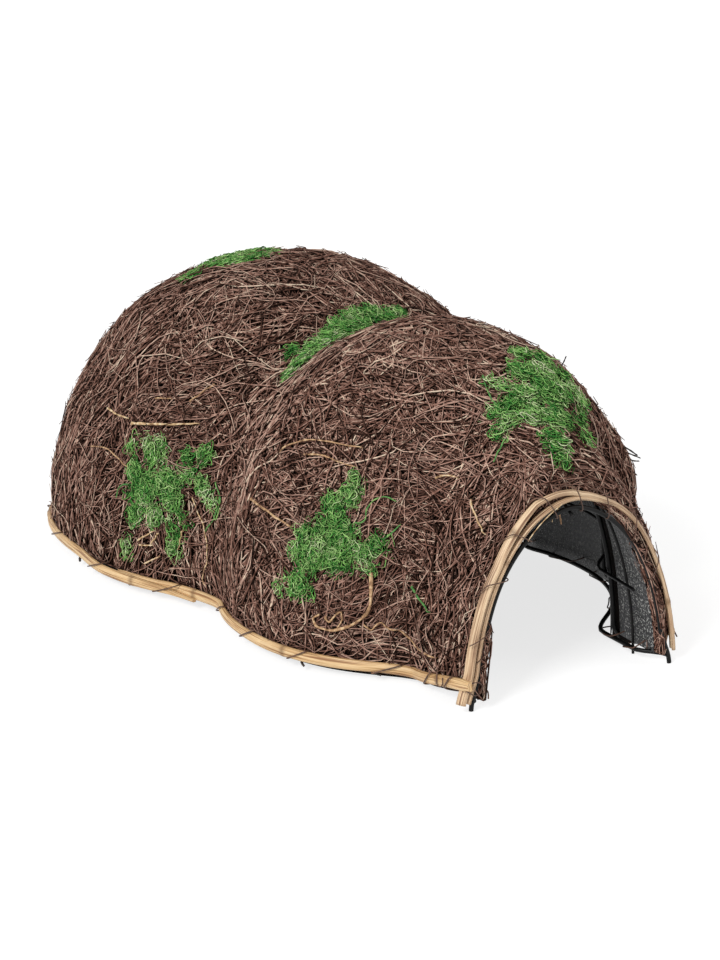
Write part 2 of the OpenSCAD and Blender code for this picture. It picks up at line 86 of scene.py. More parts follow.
# Stations along the house, counted from the entrance, and depths below the skin
B1, B2, A1, A2 = FRONT_LENGTH / 2, REAR_LENGTH / 2, FRONT_WIDTH / 2, REAR_WIDTH / 2
S1 = PORCH_DEPTH + B1
S2 = S1 + DOME_SPACING
THATCH_FRONT = 3 + HOOP_WIRE
PORCH_STATION, THROAT_STATION, FRONT_STATION = PORCH_DEPTH * 0.58, PORCH_DEPTH + 5, S1 - 30
WAIST_STATION = S2 - 0.815 * B2
MIDDLE_STATION = (WAIST_STATION + S2) / 2
APSE = math.pi * math.sqrt((A2 * A2 + B2 * B2) / 2)
EDGE = 2 * S2 + APSE
LINER_OUT = THATCH + GAP
LINER_IN = LINER_OUT + LINER
HOOP_DEPTH = LINER_IN + HOOP_GAP + HOOP_WIRE / 2
THIN_DEPTH = HOOP_DEPTH + (HOOP_WIRE - PORCH_WIRE) / 2
BASE_STEP = HOOP_WIRE + WELD_GAP + 0.2
RAIL_STEP = (HOOP_WIRE + RAIL_WIRE) / 2 + WELD_GAP
INNER_CANE_DEPTH = HOOP_DEPTH - HOOP_WIRE / 2 - GAP - 0.3 * ARCH_WIDTH
CANT = (ARCH_WIDTH + ARCH_THICK) * 0.36
OUTER_CANE_DEPTH = INNER_CANE_DEPTH - 0.25 * ARCH_WIDTH - GAP - CANT
LASH_STEP = 0.5 + LASH_WIRE / 2
RIM_OUT = RIM_GAP + RIM_THICK
FRONT_MOST = -1 - CANT - LASH_STEP - 0.3 - LASH_WIRE / 2
MIDDLE_Y = (FRONT_MOST + S2 + B2 + RIM_OUT) / 2
LAP_FRONT = WAIST_STATION + 4
LAP_BACK = LAP_FRONT + RIM_LAP


# Shape of the house

def smooth(t):
    """Eased step from 0 to 1."""
    t = np.clip(t, 0, 1)
    return t * t * (3 - 2 * t)


def lobe(s, centre, half, top, power):
    """Height of one rounded lobe at station s."""
    t = np.clip(np.abs(s - centre) / half, 0, 1)
    return top * (1 - t ** power) ** (1 / power)


def blend_max(a, b, k):
    """Larger of two heights, with the crease between them filled over k."""
    return np.maximum(a, b) + np.maximum(k - np.abs(a - b), 0) ** 2 / (4 * k)


def unit(v):
    """Vectors drawn to length 1."""
    return v / np.maximum(np.linalg.norm(v, axis=-1, keepdims=True), 1e-6)


def travelled(path):
    """Distance along a path at each of its points."""
    return np.concatenate([[0], np.cumsum(np.linalg.norm(np.diff(path, axis=0), axis=1))])


def station_at(u):
    """Station of edge place u; all round the back it is the middle of the rear dome."""
    return np.where(u <= S2, u, np.where(u >= S2 + APSE, EDGE - u, S2))


def half_width(s):
    """Outer half width of the thatch at station s."""
    porch = np.where(s < S1, PORCH_WIDTH / 2, 0)
    front = blend_max(lobe(s, S1, B1, A1, FRONT_POWER), porch, FLARE_BLEND)
    return blend_max(front, lobe(s, S2, B2, A2, REAR_POWER), WAIST_BLEND)


def roof(s):
    """Height of the ridge at station s."""
    ramp = np.sign(1 - s / S1) * np.abs(1 - s / S1) ** RIDGE_POWER
    before = PORCH_HEIGHT + (FRONT_HEIGHT - PORCH_HEIGHT) * (1 - ramp)
    after = lobe(s, S1, B1 + FRONT_FALL, FRONT_HEIGHT, FRONT_POWER)
    rear = lobe(s, S2, B2, REAR_HEIGHT, REAR_RIDGE_POWER)
    return blend_max(np.where(s < S1, before, after), rear, SADDLE_BLEND)


def foot(u, d):
    """Plan point of the skin at edge place u and depth d: left jamb, round the back, right jamb."""
    u = np.asarray(u, float)
    s = station_at(u)
    turn = np.pi * np.clip((u - S2) / APSE, 0, 1)
    back = (u > S2) & (u < S2 + APSE)
    c, n = np.cos(turn), np.abs(np.sin(turn))
    wide = np.where(u <= S2, -1, 1) * (half_width(s) - d)
    x = np.where(back, -(A2 - d) * np.sign(c) * np.abs(c) ** (2 / REAR_POWER), wide)
    y = np.where(back, S2 + (B2 - d) * n ** (2 / REAR_POWER), s)
    return x, y


def bow(s):
    """Power of the cross section at station s: the porch is less square than the domes."""
    return PORCH_POWER + (ARCH_POWER - PORCH_POWER) * smooth(s / (PORCH_DEPTH * 2.3))


def lean(s):
    """How far the porch leans to the left for each millimetre of height."""
    return PORCH_LEAN / PORCH_HEIGHT * (1 - smooth(s / (PORCH_DEPTH * 2.5)))


def rim_low(u):
    """Height of the rim cane's lower edge, which lifts towards the jambs."""
    s = np.minimum(u, EDGE - u)
    lift = RIM_LIFT * np.clip(1 - (s + RIM_AHEAD) / RIM_LIFT_RUN, 0, 1) ** 1.3
    return RIM_CLEAR + lift - RIM_DIP * np.exp(-((s - RIM_DIP_STATION) / RIM_DIP_RUN) ** 2)


def hem(u):
    """Height of the lower edge of the thatch."""
    return rim_low(u) + RIM_HEIGHT + LASH_WIRE + 0.5 + GAP


def crown(u, d, lip):
    """Station and height of the ridge point above edge place u; lip 1 is the lining's lower line."""
    s = station_at(u)
    return s, roof(s) - lip * PORCH_LIP * np.maximum(0, 1 - s / S1) ** 2 - d


def skin(u, v, d, lip=0):
    """Points of the house at edge place u and rise v in degrees, in millimetres, as (..., 3)."""
    u, v = np.broadcast_arrays(np.asarray(u, float), np.radians(np.asarray(v, float)))
    x, y = foot(u, d)
    s, top = crown(u, d, lip)
    k = np.maximum(np.cos(v), 0) ** (2 / bow(s))
    z = top * np.abs(np.sin(v)) ** (2 / bow(s))
    return np.stack([x * k - lean(s) * z, s + (y - s) * k - MIDDLE_Y, z], -1)


def rise(u, d, lip, z):
    """Rise in degrees at which the skin is z above the ground."""
    s, top = crown(np.asarray(u, float), d, lip)
    return np.degrees(np.arcsin(np.clip(z / top, 0, 1) ** (bow(s) / 2)))


def edge_at(u, d, out, z):
    """Level point off the edge at depth d; out is square to the edge, inward if negative."""
    (x, y), (xa, ya), (xb, yb) = foot(u, d), foot(u - 0.5, d), foot(u + 0.5, d)
    tx, ty = xb - xa, yb - ya
    size = np.hypot(tx, ty)
    return np.stack([x - ty / size * out, y - MIDDLE_Y + tx / size * out, z + 0 * x], -1)


def inward(u, v, d, lip):
    """Unit directions into the house."""
    v = np.clip(v, 1, 88)
    along = skin(u + 0.5, v, d, lip) - skin(u - 0.5, v, d, lip)
    up = skin(u, v + 0.5, d, lip) - skin(u, v - 0.5, d, lip)
    return unit(np.cross(along, up))


def lumps(p, seed=0.0):
    """Gentle unevenness of hand-laid brushwood, about -1 to 1, at points in millimetres."""
    total = np.zeros(p.shape[:-1])
    for i, (kx, ky, kz, share) in enumerate(
            ((1.0, 0.4, 0.3, 0.34), (-0.5, 1.1, 0.5, 0.3), (0.3, -0.7, 1.3, 0.22), (1.9, 1.5, -1.2, 0.14))):
        total += share * np.sin((p @ np.array([kx, ky, kz])) / 17.0 + 1.7 * i + seed)
    return total


# Helpers for meshes and node trees

def srgb(code):
    """Linear colour of an sRGB hex code; a colour setting passes through."""
    if not isinstance(code, str):
        return (*code[:3], 1.0)
    parts = [int(code[i:i + 2], 16) / 255 for i in (1, 3, 5)]
    return (*[c / 12.92 if c <= 0.04045 else ((c + 0.055) / 1.055) ** 2.4 for c in parts], 1.0)


def pick(sockets, key):
    """Socket by number, or the first enabled one of that name."""
    if isinstance(key, int):
        return sockets[key]
    return next(s for s in sockets if s.enabled and s.name == key)


def connect(tree, node, inputs):
    """Fills a node's inputs with values, with nodes (their first output) or with (node, output)."""
    for key, value in inputs.items():
        if isinstance(value, bpy.types.Node):
            value = (value, next(s.name for s in value.outputs if s.enabled))
        if isinstance(value, tuple) and isinstance(value[0], bpy.types.Node):
            tree.links.new(pick(value[0].outputs, value[1]), pick(node.inputs, key))
        else:
            pick(node.inputs, key).default_value = value


def add(tree, kind, inputs=None, ramp=None, **options):
    """Adds a node: options are its own settings, ramp the stops of its colours, inputs as in connect."""
    node = tree.nodes.new(kind)
    for name, value in options.items():
        setattr(node, name, value)
    if ramp:
        stops = node.color_ramp.elements
        while len(stops) < len(ramp):
            stops.new(1.0)
        for stop, (place, code) in zip(stops, ramp):
            stop.position, stop.color = place, srgb(code)
    connect(tree, node, inputs or {})
    return node


def calc(tree, operation, *values, **options):
    """Number worked out from one to three others."""
    return add(tree, "ShaderNodeMath", dict(enumerate(values)), operation=operation, **options)


def arrow(tree, operation, a, b=None):
    """Vector worked out from one or two others, or from one and a number that scales it."""
    second = {} if b is None else {"Scale" if operation == "SCALE" else 1: b}
    return add(tree, "ShaderNodeVectorMath", {0: a, **second}, operation=operation)


def mapped(tree, value, *ends):
    """Value moved from one range, its low and high end, to another, 0 to 1 unless it is given."""
    names = ("From Min", "From Max", "To Min", "To Max")
    return add(tree, "ShaderNodeMapRange", {"Value": value, **dict(zip(names, ends))})


def chance(tree, low, high, seed):
    """Random number of each strand."""
    return add(tree, "FunctionNodeRandomValue", {"Min": low, "Max": high, "Seed": seed})


def stored(tree, name, kind="FLOAT"):
    """Attribute read in a geometry tree."""
    return add(tree, "GeometryNodeInputNamedAttribute", {"Name": name}, data_type=kind)


def store(tree, geometry, name, value, kind="FLOAT", domain="POINT"):
    """Geometry with one more attribute."""
    return add(tree, "GeometryNodeStoreNamedAttribute",
               {"Geometry": geometry, "Name": name, "Value": value}, data_type=kind, domain=domain)


def tube(tree, curve, sides, radius, size):
    """Tube along a curve, with closed ends."""
    profile = add(tree, "GeometryNodeCurvePrimitiveCircle", {"Resolution": sides, "Radius": radius})
    return add(tree, "GeometryNodeCurveToMesh",
               {"Curve": curve, "Profile Curve": profile, "Scale": size, "Fill Caps": True})


def close_tree(tree, given, geometry):
    """Ends a geometry tree: smooth shading, real meshes, the given material."""
    geometry = add(tree, "GeometryNodeSetShadeSmooth", {"Geometry": geometry})
    geometry = add(tree, "GeometryNodeRealizeInstances", {"Geometry": geometry})
    geometry = add(tree, "GeometryNodeSetMaterial", {"Geometry": geometry, "Material": (given, "Material")})
    add(tree, "NodeGroupOutput", {"Geometry": geometry})
    return tree


def new_material(name):
    """Material with an empty tree, its surface shader and output."""
    material = bpy.data.materials.new(name)
    material.use_nodes = True
    tree = material.node_tree
    tree.nodes.clear()
    shader = add(tree, "ShaderNodeBsdfPrincipled")
    add(tree, "ShaderNodeOutputMaterial", {"Surface": shader})
    return material, tree, shader


def new_mesh(name, points, faces=(), edges=(), material=None):
    """Object whose mesh has these points in millimetres."""
    mesh = bpy.data.meshes.new(name)
    mesh.from_pydata(np.asarray(points, float).reshape(-1, 3) * MM, edges, faces)
    if material:
        mesh.materials.append(material)
    if faces:
        mesh.polygons.foreach_set("use_smooth", np.ones(len(mesh.polygons), bool))
    obj = bpy.data.objects.new(name, mesh)
    bpy.context.scene.collection.objects.link(obj)
    return obj


def mend(mesh, weld=False, turn=False):
    """Welds the double points of a mesh, turns its faces outward, or both."""
    work = bmesh.new()
    work.from_mesh(mesh)
    if weld:
        bmesh.ops.remove_doubles(work, verts=work.verts, dist=1e-5)
    if turn:
        bmesh.ops.recalc_face_normals(work, faces=work.faces)
    work.to_mesh(mesh)
    work.free()


def grid_faces(n, m, closed=False):
    """Quads of an n by m grid of points, row by row; closed joins the ends of each row."""
    return [(i * m + j, i * m + (j + 1) % m, (i + 1) * m + (j + 1) % m, (i + 1) * m + j)
            for i in range(n - 1) for j in range(m if closed else m - 1)]


def set_floats(mesh, name, values):
    """Point attribute of one number for each vertex, in place of any of that name."""
    if name in mesh.attributes:
        mesh.attributes.remove(mesh.attributes[name])
    attribute = mesh.attributes.new(name, "FLOAT", "POINT")
    attribute.data.foreach_set("value", np.asarray(values, np.float32).ravel())


def grown(obj, tree, values, name):
    """Plain mesh object from running a tree on obj."""
    modifier = obj.modifiers.new(tree.name, "NODES")
    modifier.node_group = tree
    for item in tree.interface.items_tree:
        if item.item_type == "SOCKET" and item.in_out == "INPUT" and item.name in values:
            modifier[item.identifier] = values[item.name]
    graph = bpy.context.evaluated_depsgraph_get()
    mesh = bpy.data.meshes.new_from_object(obj.evaluated_get(graph), depsgraph=graph)
    if not mesh.polygons:
        raise RuntimeError(f"{name} came out empty")
    obj.modifiers.remove(modifier)
    for attribute in [a.name for a in mesh.attributes if a.name.startswith("strand_")]:
        mesh.attributes.remove(mesh.attributes[attribute])
    mesh.name = name
    piece = bpy.data.objects.new(name, mesh)
    bpy.context.scene.collection.objects.link(piece)
    return piece


def settle(piece, slot, *nodes):
    """Hands a finished piece to the frame: it rides on the one body, and the CAD nodes it takes the place of
    are hidden.
    """
    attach(piece, "root")
    if nodes:
        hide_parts(*nodes)


def tree_with(name, inputs):
    """Geometry tree with named inputs; returns the tree and its input node."""
    tree = bpy.data.node_groups.new(name, "GeometryNodeTree")
    for label, kind in inputs:
        tree.interface.new_socket(label, in_out="INPUT", socket_type="NodeSocket" + kind)
    tree.interface.new_socket("Geometry", in_out="OUTPUT", socket_type="NodeSocketGeometry")
    return tree, add(tree, "NodeGroupInput")


def strand_tree():
    """Strands laid on a skin: scattered roots, each drawn out to a bent, tapered twig or fibre."""
    numbers = ("Density", "Shortest", "Longest", "Bend", "Curl", "Wander", "Turn", "Bundle Turn", "Bundle Size",
               "Lowest", "Highest", "Weave", "Dive", "Thinnest", "Thickest")
    tree, given = tree_with("Laid strands", [
        ("Geometry", "Geometry"), ("Skin", "Object"), *((name, "Float") for name in numbers),
        ("Points", "Int"), ("Cells", "Int"), ("Seed", "Int"), ("Material", "Material")])
    density = calc(tree, "MULTIPLY", (given, "Density"), stored(tree, "grow"))
    roots = add(tree, "GeometryNodeDistributePointsOnFaces",
                {"Mesh": (given, "Geometry"), "Density": density, "Seed": (given, "Seed")})
    position = add(tree, "GeometryNodeInputPosition")
    # Neighbouring strands share a direction and a tone, cell by cell
    cell_place = arrow(tree, "ADD", position, add(tree, "ShaderNodeCombineXYZ", {0: (given, "Seed")}))
    cell_scale = calc(tree, "DIVIDE", 1.0, (given, "Bundle Size"))
    cell = add(tree, "ShaderNodeTexVoronoi", {"Vector": cell_place, "Scale": cell_scale})
    cell_parts = add(tree, "FunctionNodeSeparateColor", {"Color": (cell, "Color")})
    cell_turn = mapped(tree, (cell_parts, "Red"), 0.0, 1.0, -1.0, 1.0)
    cell_angle = calc(tree, "MULTIPLY", cell_turn, (given, "Bundle Turn"))
    angle = calc(tree, "MULTIPLY_ADD", chance(tree, -1.0, 1.0, 1), (given, "Turn"), cell_angle)
    flow = stored(tree, "flow", "FLOAT_VECTOR")
    heading = add(tree, "ShaderNodeVectorRotate",
                  {"Vector": flow, "Axis": (roots, "Normal"), "Angle": angle}, rotation_type="AXIS_ANGLE")
    heading = arrow(tree, "NORMALIZE", heading)
    sideways = arrow(tree, "CROSS_PRODUCT", (roots, "Normal"), heading)
    tone = add(tree, "ShaderNodeMix",
               {"Factor": 0.3, "A": chance(tree, 0.0, 1.0, 2), "B": (cell_parts, "Green")})
    length = chance(tree, (given, "Shortest"), (given, "Longest"), 3)
    lift = chance(tree, (given, "Lowest"), (given, "Highest"), 4)
    lift = calc(tree, "MULTIPLY", lift, stored(tree, "swell"))
    thick = chance(tree, (given, "Thinnest"), (given, "Thickest"), 5)
    kept, own = roots, {}
    for name, value, kind in (
            ("heading", heading, "FLOAT_VECTOR"), ("sideways", sideways, "FLOAT_VECTOR"),
            ("length", length, "FLOAT"), ("lift", lift, "FLOAT"), ("thick", thick, "FLOAT"),
            ("bend", chance(tree, -1.0, 1.0, 6), "FLOAT"), ("curl", chance(tree, -1.0, 1.0, 7), "FLOAT"),
            ("id", add(tree, "GeometryNodeInputIndex"), "INT")):
        kept = store(tree, kept, "strand_" + name, value, kind)
        own[name] = stored(tree, "strand_" + name, kind)
    kept = store(tree, kept, "tone", tone)
    drawn = add(tree, "GeometryNodeDuplicateElements",
                {"Geometry": kept, "Amount": (given, "Points")}, domain="POINT")
    last = calc(tree, "SUBTRACT", (given, "Points"), 1.0)
    along = calc(tree, "DIVIDE", (drawn, "Duplicate Index"), last)
    drawn = store(tree, (drawn, "Geometry"), "along", along)
    along = stored(tree, "along")
    # c runs from -1 at the root end to 1 at the tip; an arc and an S curve bend the strand in its plane
    c = calc(tree, "MULTIPLY_ADD", along, 2.0, -1.0)
    cc = calc(tree, "MULTIPLY", c, c)
    ahead = calc(tree, "MULTIPLY", calc(tree, "MULTIPLY", c, own["length"]), 0.5)
    arc = calc(tree, "SUBTRACT", 1.0, cc)
    ess = calc(tree, "MULTIPLY", arc, c)
    bend = calc(tree, "MULTIPLY", own["bend"], (given, "Bend"))
    curl = calc(tree, "MULTIPLY", own["curl"], (given, "Curl"))
    side = calc(tree, "MULTIPLY_ADD", ess, curl, calc(tree, "MULTIPLY", arc, bend))
    side = calc(tree, "MULTIPLY", side, own["length"])
    place = arrow(tree, "ADD", arrow(tree, "SCALE", own["heading"], ahead), position)
    place = arrow(tree, "ADD", place, arrow(tree, "SCALE", own["sideways"], side))
    # Each strand wanders by its own noise, in waves of about 18 mm
    own_shift = calc(tree, "MULTIPLY", own["id"], 0.731)
    waves = add(tree, "ShaderNodeTexNoise",
                {"Vector": place, "W": own_shift, "Scale": 55.0, "Detail": 1.0}, noise_dimensions="4D")
    drift = arrow(tree, "SUBTRACT", (waves, "Color"), (0.5, 0.5, 0.5))
    place = arrow(tree, "ADD", place, arrow(tree, "SCALE", drift, (given, "Wander")))
    skin_of = add(tree, "GeometryNodeObjectInfo", {"Object": (given, "Skin")}, transform_space="ORIGINAL")
    near = add(tree, "GeometryNodeProximity",
               {"Geometry": (skin_of, "Geometry"), "Sample Position": place}, target_element="FACES")
    normal = add(tree, "GeometryNodeSampleNearestSurface",
                 {"Mesh": (skin_of, "Geometry"), "Value": add(tree, "GeometryNodeInputNormal"),
                  "Sample Position": place}, data_type="FLOAT_VECTOR")
    # The strand weaves over and under its neighbours, and its ends dive among them
    weave = mapped(tree, (waves, "Fac"), 0.3, 0.7, -1.0, 1.0)
    height = calc(tree, "MULTIPLY_ADD", weave, (given, "Weave"), own["lift"])
    ends = calc(tree, "MULTIPLY", calc(tree, "MULTIPLY", cc, cc), (given, "Dive"))
    height = calc(tree, "SUBTRACT", height, ends)
    place = arrow(tree, "ADD", (near, "Position"), arrow(tree, "SCALE", normal, height))
    drawn = store(tree, drawn, "strand_up", normal, "FLOAT_VECTOR")
    drawn = add(tree, "GeometryNodeSetPosition", {"Geometry": drawn, "Position": place})
    curves = add(tree, "GeometryNodePointsToCurves",
                 {"Points": drawn, "Curve Group ID": own["id"], "Weight": along})
    curves = add(tree, "GeometryNodeSetCurveRadius", {"Curve": curves, "Radius": 1.0})
    upward = stored(tree, "strand_up", "FLOAT_VECTOR")
    curves = add(tree, "GeometryNodeSetCurveNormal", {"Curve": curves, "Normal": upward}, mode="FREE")
    taper = calc(tree, "MULTIPLY_ADD", cc, -0.6, 1.0)
    taper = calc(tree, "MULTIPLY", taper, own["thick"])
    # A three-sided tube looks a little thinner than its circle
    tubes = tube(tree, curves, 3, 1.0, calc(tree, "MULTIPLY", taper, 0.58))
    around = calc(tree, "MODULO", add(tree, "GeometryNodeInputIndex"), 3.0)
    tubes = store(tree, tubes, "strand_around", around)
    around = stored(tree, "strand_around")
    # The edge of each strand that faces out keeps its colour; the two below it get painted shade
    tubes = store(tree, tubes, "ridge", calc(tree, "LESS_THAN", around, 0.5))
    # One cell of the texture map for each strand
    cells = (given, "Cells")
    column = calc(tree, "MODULO", own["id"], cells)
    row = calc(tree, "FLOOR", calc(tree, "DIVIDE", own["id"], cells))
    spot = []
    for value, share, corner in ((along, 0.8, column), (around, 0.4, row)):
        inside = calc(tree, "MULTIPLY_ADD", value, share, 0.1)
        spot.append(calc(tree, "DIVIDE", calc(tree, "ADD", inside, corner), cells))
    spot = add(tree, "ShaderNodeCombineXYZ", dict(enumerate(spot)))
    tubes = store(tree, tubes, "OFBake", spot, "FLOAT2", "CORNER")
    return close_tree(tree, given, tubes)


def tube_tree():
    """Round wire or root along a drawn line, whose thick attribute is its diameter."""
    tree, given = tree_with("Drawn tube", [
        ("Geometry", "Geometry"), ("Sides", "Int"), ("Material", "Material")])
    line = add(tree, "GeometryNodeMeshToCurve", {"Mesh": (given, "Geometry")})
    line = add(tree, "GeometryNodeSetCurveRadius", {"Curve": line, "Radius": 1.0})
    return close_tree(tree, given, tube(tree, line, (given, "Sides"), 0.5, stored(tree, "thick")))


def drawn_tube(name, path, thick, sides, material):
    """Tube along a path in millimetres; thick is one diameter or one for each point."""
    line = new_mesh(name + "_line", path, edges=[(i, i + 1) for i in range(len(path) - 1)])
    set_floats(line.data, "thick", np.broadcast_to(thick, len(path)) * MM)
    tree = bpy.data.node_groups.get("Drawn tube") or tube_tree()
    piece = grown(line, tree, {"Sides": sides, "Material": material}, name)
    bpy.data.objects.remove(line)
    return piece


def swept(name, rings, material):
    """Solid through rings of equal count, with flat ends; run and round tell each point's place on it."""
    rings = np.asarray(rings, float)
    n, m = rings.shape[:2]
    faces = grid_faces(n, m, closed=True)
    faces += [tuple(range(m - 1, -1, -1)), tuple(range((n - 1) * m, n * m))]
    obj = new_mesh(name, rings, faces, material=material)
    set_floats(obj.data, "run", np.repeat(travelled(rings.mean(1)), m) * MM)
    set_floats(obj.data, "round", np.tile(np.arange(m) / m, n))
    mend(obj.data, turn=True)
    for face in obj.data.polygons[-2:]:
        face.use_smooth = False
    return obj


def shell(name, columns, rows, back, outer, inner, material, foot_z, wrinkle=0.0):
    """Closed shell over the edge places in columns, from foot_z up, between two (depth, lip) faces."""
    u = np.asarray(columns, float)
    faces, points = [], []
    for depth, lip in (outer, inner):
        low = rise(u, depth, lip, foot_z)
        v = low[:, None] + (90 - low[:, None]) * np.linspace(0, 1, rows)[None]
        uu = np.broadcast_to(u[:, None], v.shape)
        p = skin(uu, v, depth, lip)
        if wrinkle:
            mid = skin(uu, v, THATCH, 1)
            way = inward(uu, v, depth, lip)
            way[:, -1] = (0, 0, -1)
            p = p + way * (wrinkle * (0.5 + 0.5 * lumps(mid * 0.9, 4.0)))[..., None]
        points.append(p.reshape(-1, 3))
    n, size = len(u), len(u) * rows
    half = n // 2
    skip = () if back else (half - 1,)
    sides = [f for k, f in enumerate(grid_faces(n, rows)) if k // (rows - 1) not in skip]
    faces += [f[::-1] for f in sides] + [tuple(i + size for i in f) for f in sides]
    for k in range(n - 1):
        if k not in skip:
            a, b = k * rows, (k + 1) * rows
            faces.append((a, b, b + size, a + size))
    ends = [0, n - 1] if back else [0, n - 1, half - 1, half]
    for i, k in enumerate(ends):
        for j in range(rows - 1):
            a, b = k * rows + j, k * rows + j + 1
            quad = (a, a + size, b + size, b)
            faces.append(quad if i in (0, 3) else quad[::-1])
    obj = new_mesh(name, np.concatenate(points), faces, material=material)
    mend(obj.data, weld=True, turn=True)
    return obj


def edge_columns(s_from, s_to, count, back):
    """Edge places from a station on the left to the same one on the right."""
    side = np.linspace(s_from, s_to, count)
    round_back = S2 + APSE * np.arange(1, 80) / 80 if back else np.zeros(0)
    return np.concatenate([side, round_back, EDGE - side[::-1]])


def house_skin():
    """The lumpy outer skin that twigs and moss are laid on, rolled over the front edge behind the arch."""
    # Station, depth and lip of the roll, from inside the arch canes out to the skin: at the crown, then at the
    # jambs, where the twigs wrap the entrance hoop, all the right one and the foot of the left one
    crown_roll = np.array([
        (16, 16.6, 1), (10, 16.6, 1), (5.5, 16, 1), (3.2, 14, 1), (2.0, 11, 1), (1.6, 8, 0.8), (2.4, 5, 0.45),
        (4.4, 2.6, 0.18), (7.6, 1, 0.04)])
    jamb_roll = np.array([
        (14, 15.6, 1), (6, 16, 1), (0.5, 15.9, 1), (-2.2, 14.6, 1), (-2.8, 12.5, 1), (-1.8, 10, 0.95),
        (-0.2, 8, 0.75), (3, 4.5, 0.38), (7.6, 1, 0.04)])
    rows, count = 46, len(crown_roll)
    s = np.concatenate([crown_roll[:, 0], np.linspace(12, S2, 70)])
    u = np.concatenate([s, S2 + APSE * np.arange(1, 96) / 96, EDGE - s[::-1]])
    spare = np.zeros(len(u) - 2 * count)
    d, lip = (np.concatenate([roll, spare, roll[::-1]])[:, None] for roll in crown_roll[:, 1:].T)
    # The twigs hang a little below the hem, and end 8 mm above the ground inside the roll
    foot_z = hem(u) - 3.5
    foot_z = foot_z + (8 - foot_z) * smooth((d[:, 0] - 3) / 6)
    low = rise(u, d[:, 0], lip[:, 0], foot_z)[:, None]
    v = low + (90 - low) * np.linspace(0, 1, rows)[None]
    u, d, lip = (np.broadcast_to(k, v.shape).copy() for k in (u[:, None], d, lip))
    # The left jamb is wrapped up to a rise of about 30 degrees and the right one to about 60
    left, right = 1 - smooth((v[:count] - 22) / 16), 1 - smooth((v[-count:] - 44) / 36)
    change = jamb_roll - crown_roll
    inside = crown_roll[:, 1:2] > 7
    u[:count] += left * (change[:, :1] - 1.5 * inside)
    u[-count:] -= right * change[::-1, :1]
    for table, k in ((d, 1), (lip, 2)):
        table[:count] += left * change[:, k:k + 1]
        table[-count:] += right * change[::-1, k:k + 1]
    d[:count] += 2.2 * left * inside
    p = skin(u, v, d, lip)
    n = np.cross(np.gradient(p, axis=1), np.gradient(p, axis=0))
    size = np.linalg.norm(n, axis=-1, keepdims=True)
    n = np.where(size < 1e-6, (0, 0, 1), n / np.maximum(size, 1e-6))
    # It lies 1.6 mm under the CAD skin, with lumps of 1.9 mm that fade out at the foot and the entrance
    edge_fade = smooth((p[..., 2] - 18) / 40) * smooth((p[..., 1] + MIDDLE_Y - 10) / 40)
    tuft = np.sum((p - (TUFT_X, TUFT_STATION - MIDDLE_Y, TUFT_Z)) ** 2, -1) / TUFT_REACH ** 2
    p = p - n * (1.6 - 1.9 * lumps(p) * edge_fade - TUFT_HEIGHT * np.exp(-tuft))[..., None]
    station = p[..., 1] + MIDDLE_Y
    # Twigs stand upright in the crease between the domes and behind the arch; elsewhere they lie aslant, in
    # slow swirls, flatter towards the ridge
    rear = np.array([0.0, 1.0, 0.0])
    along = unit(rear - n * (n @ rear)[..., None])
    up = np.cross(n, along) * np.where(p[..., :1] < 0, 1, -1)
    waist = station_of_waist()
    crease = np.exp(-((station - waist) / 26) ** 2)
    arch = np.exp(-(np.maximum(station - 4, 0) / 16) ** 2)
    upright = np.maximum(crease, arch)
    front_lie = 42 - 40 * smooth((v - 45) / 40)
    rear_lie = 78 - 52 * smooth((v - 60) / 22)
    lie = np.where(station < waist, front_lie, rear_lie) + 46 * lumps(p * 0.62, 2.0)
    lie = np.radians(lie * (1 - upright) + 90 * upright)
    flow = along * np.cos(lie)[..., None] + up * np.sin(lie)[..., None]
    flow = np.where(d[..., None] > 3, up, flow)
    obj = new_mesh("house_skin", p, grid_faces(*v.shape))
    mesh = obj.data
    attribute = mesh.attributes.new("flow", "FLOAT_VECTOR", "POINT")
    attribute.data.foreach_set("vector", flow.astype(np.float32).ravel())
    set_floats(mesh, "station", station)
    set_floats(mesh, "rolled", smooth((d - 6) / 4))
    set_floats(mesh, "swell", np.ones(station.size))
    mend(mesh, weld=True)
    return obj


def station_of_waist():
    """Station at which the house is narrowest between its domes."""
    s = np.linspace(S1, S2, 400)
    return float(s[np.argmin(half_width(s))])


def area_of(mesh, chosen):
    """Area in square metres of the chosen faces of a mesh."""
    areas = np.zeros(len(mesh.polygons))
    mesh.polygons.foreach_get("area", areas)
    return float(areas[chosen].sum())


# Parts of the materials

def noise(tree, scale, detail):
    """Noise over an object's own coordinates, scale waves to the metre."""
    place = (add(tree, "ShaderNodeTexCoord"), "Object")
    return add(tree, "ShaderNodeTexNoise", {"Vector": place, "Scale": scale, "Detail": detail}), "Fac"


def painted(tree, name):
    """Attribute of a mesh read in a material."""
    return add(tree, "ShaderNodeAttribute", attribute_name=name), "Fac"


def toned(tree, value):
    """Noise added to each strand's own tone, between 0 and 1."""
    shade = calc(tree, "MULTIPLY_ADD", value, 0.9, -0.45)
    return calc(tree, "ADD", shade, painted(tree, "tone"), use_clamp=True)


def tinted(tree, value, *stops):
    """Colour of a value, from stops of (value, colour)."""
    return add(tree, "ShaderNodeValToRGB", {"Fac": value}, ramp=stops)


def mixed(tree, factor, a, b):
    """Colour between two others."""
    return add(tree, "ShaderNodeMix", {"Factor": factor, "A": a, "B": b}, data_type="RGBA")


def roughened(tree, value, low, high):
    """Roughness of a value from 0 to 1."""
    return mapped(tree, value, 0.0, 1.0, low, high)


def bumped(tree, height, strength, depth):
    """Normals of a relief, with its depth in metres."""
    return add(tree, "ShaderNodeBump", {"Height": height, "Strength": strength, "Distance": depth})


# Materials

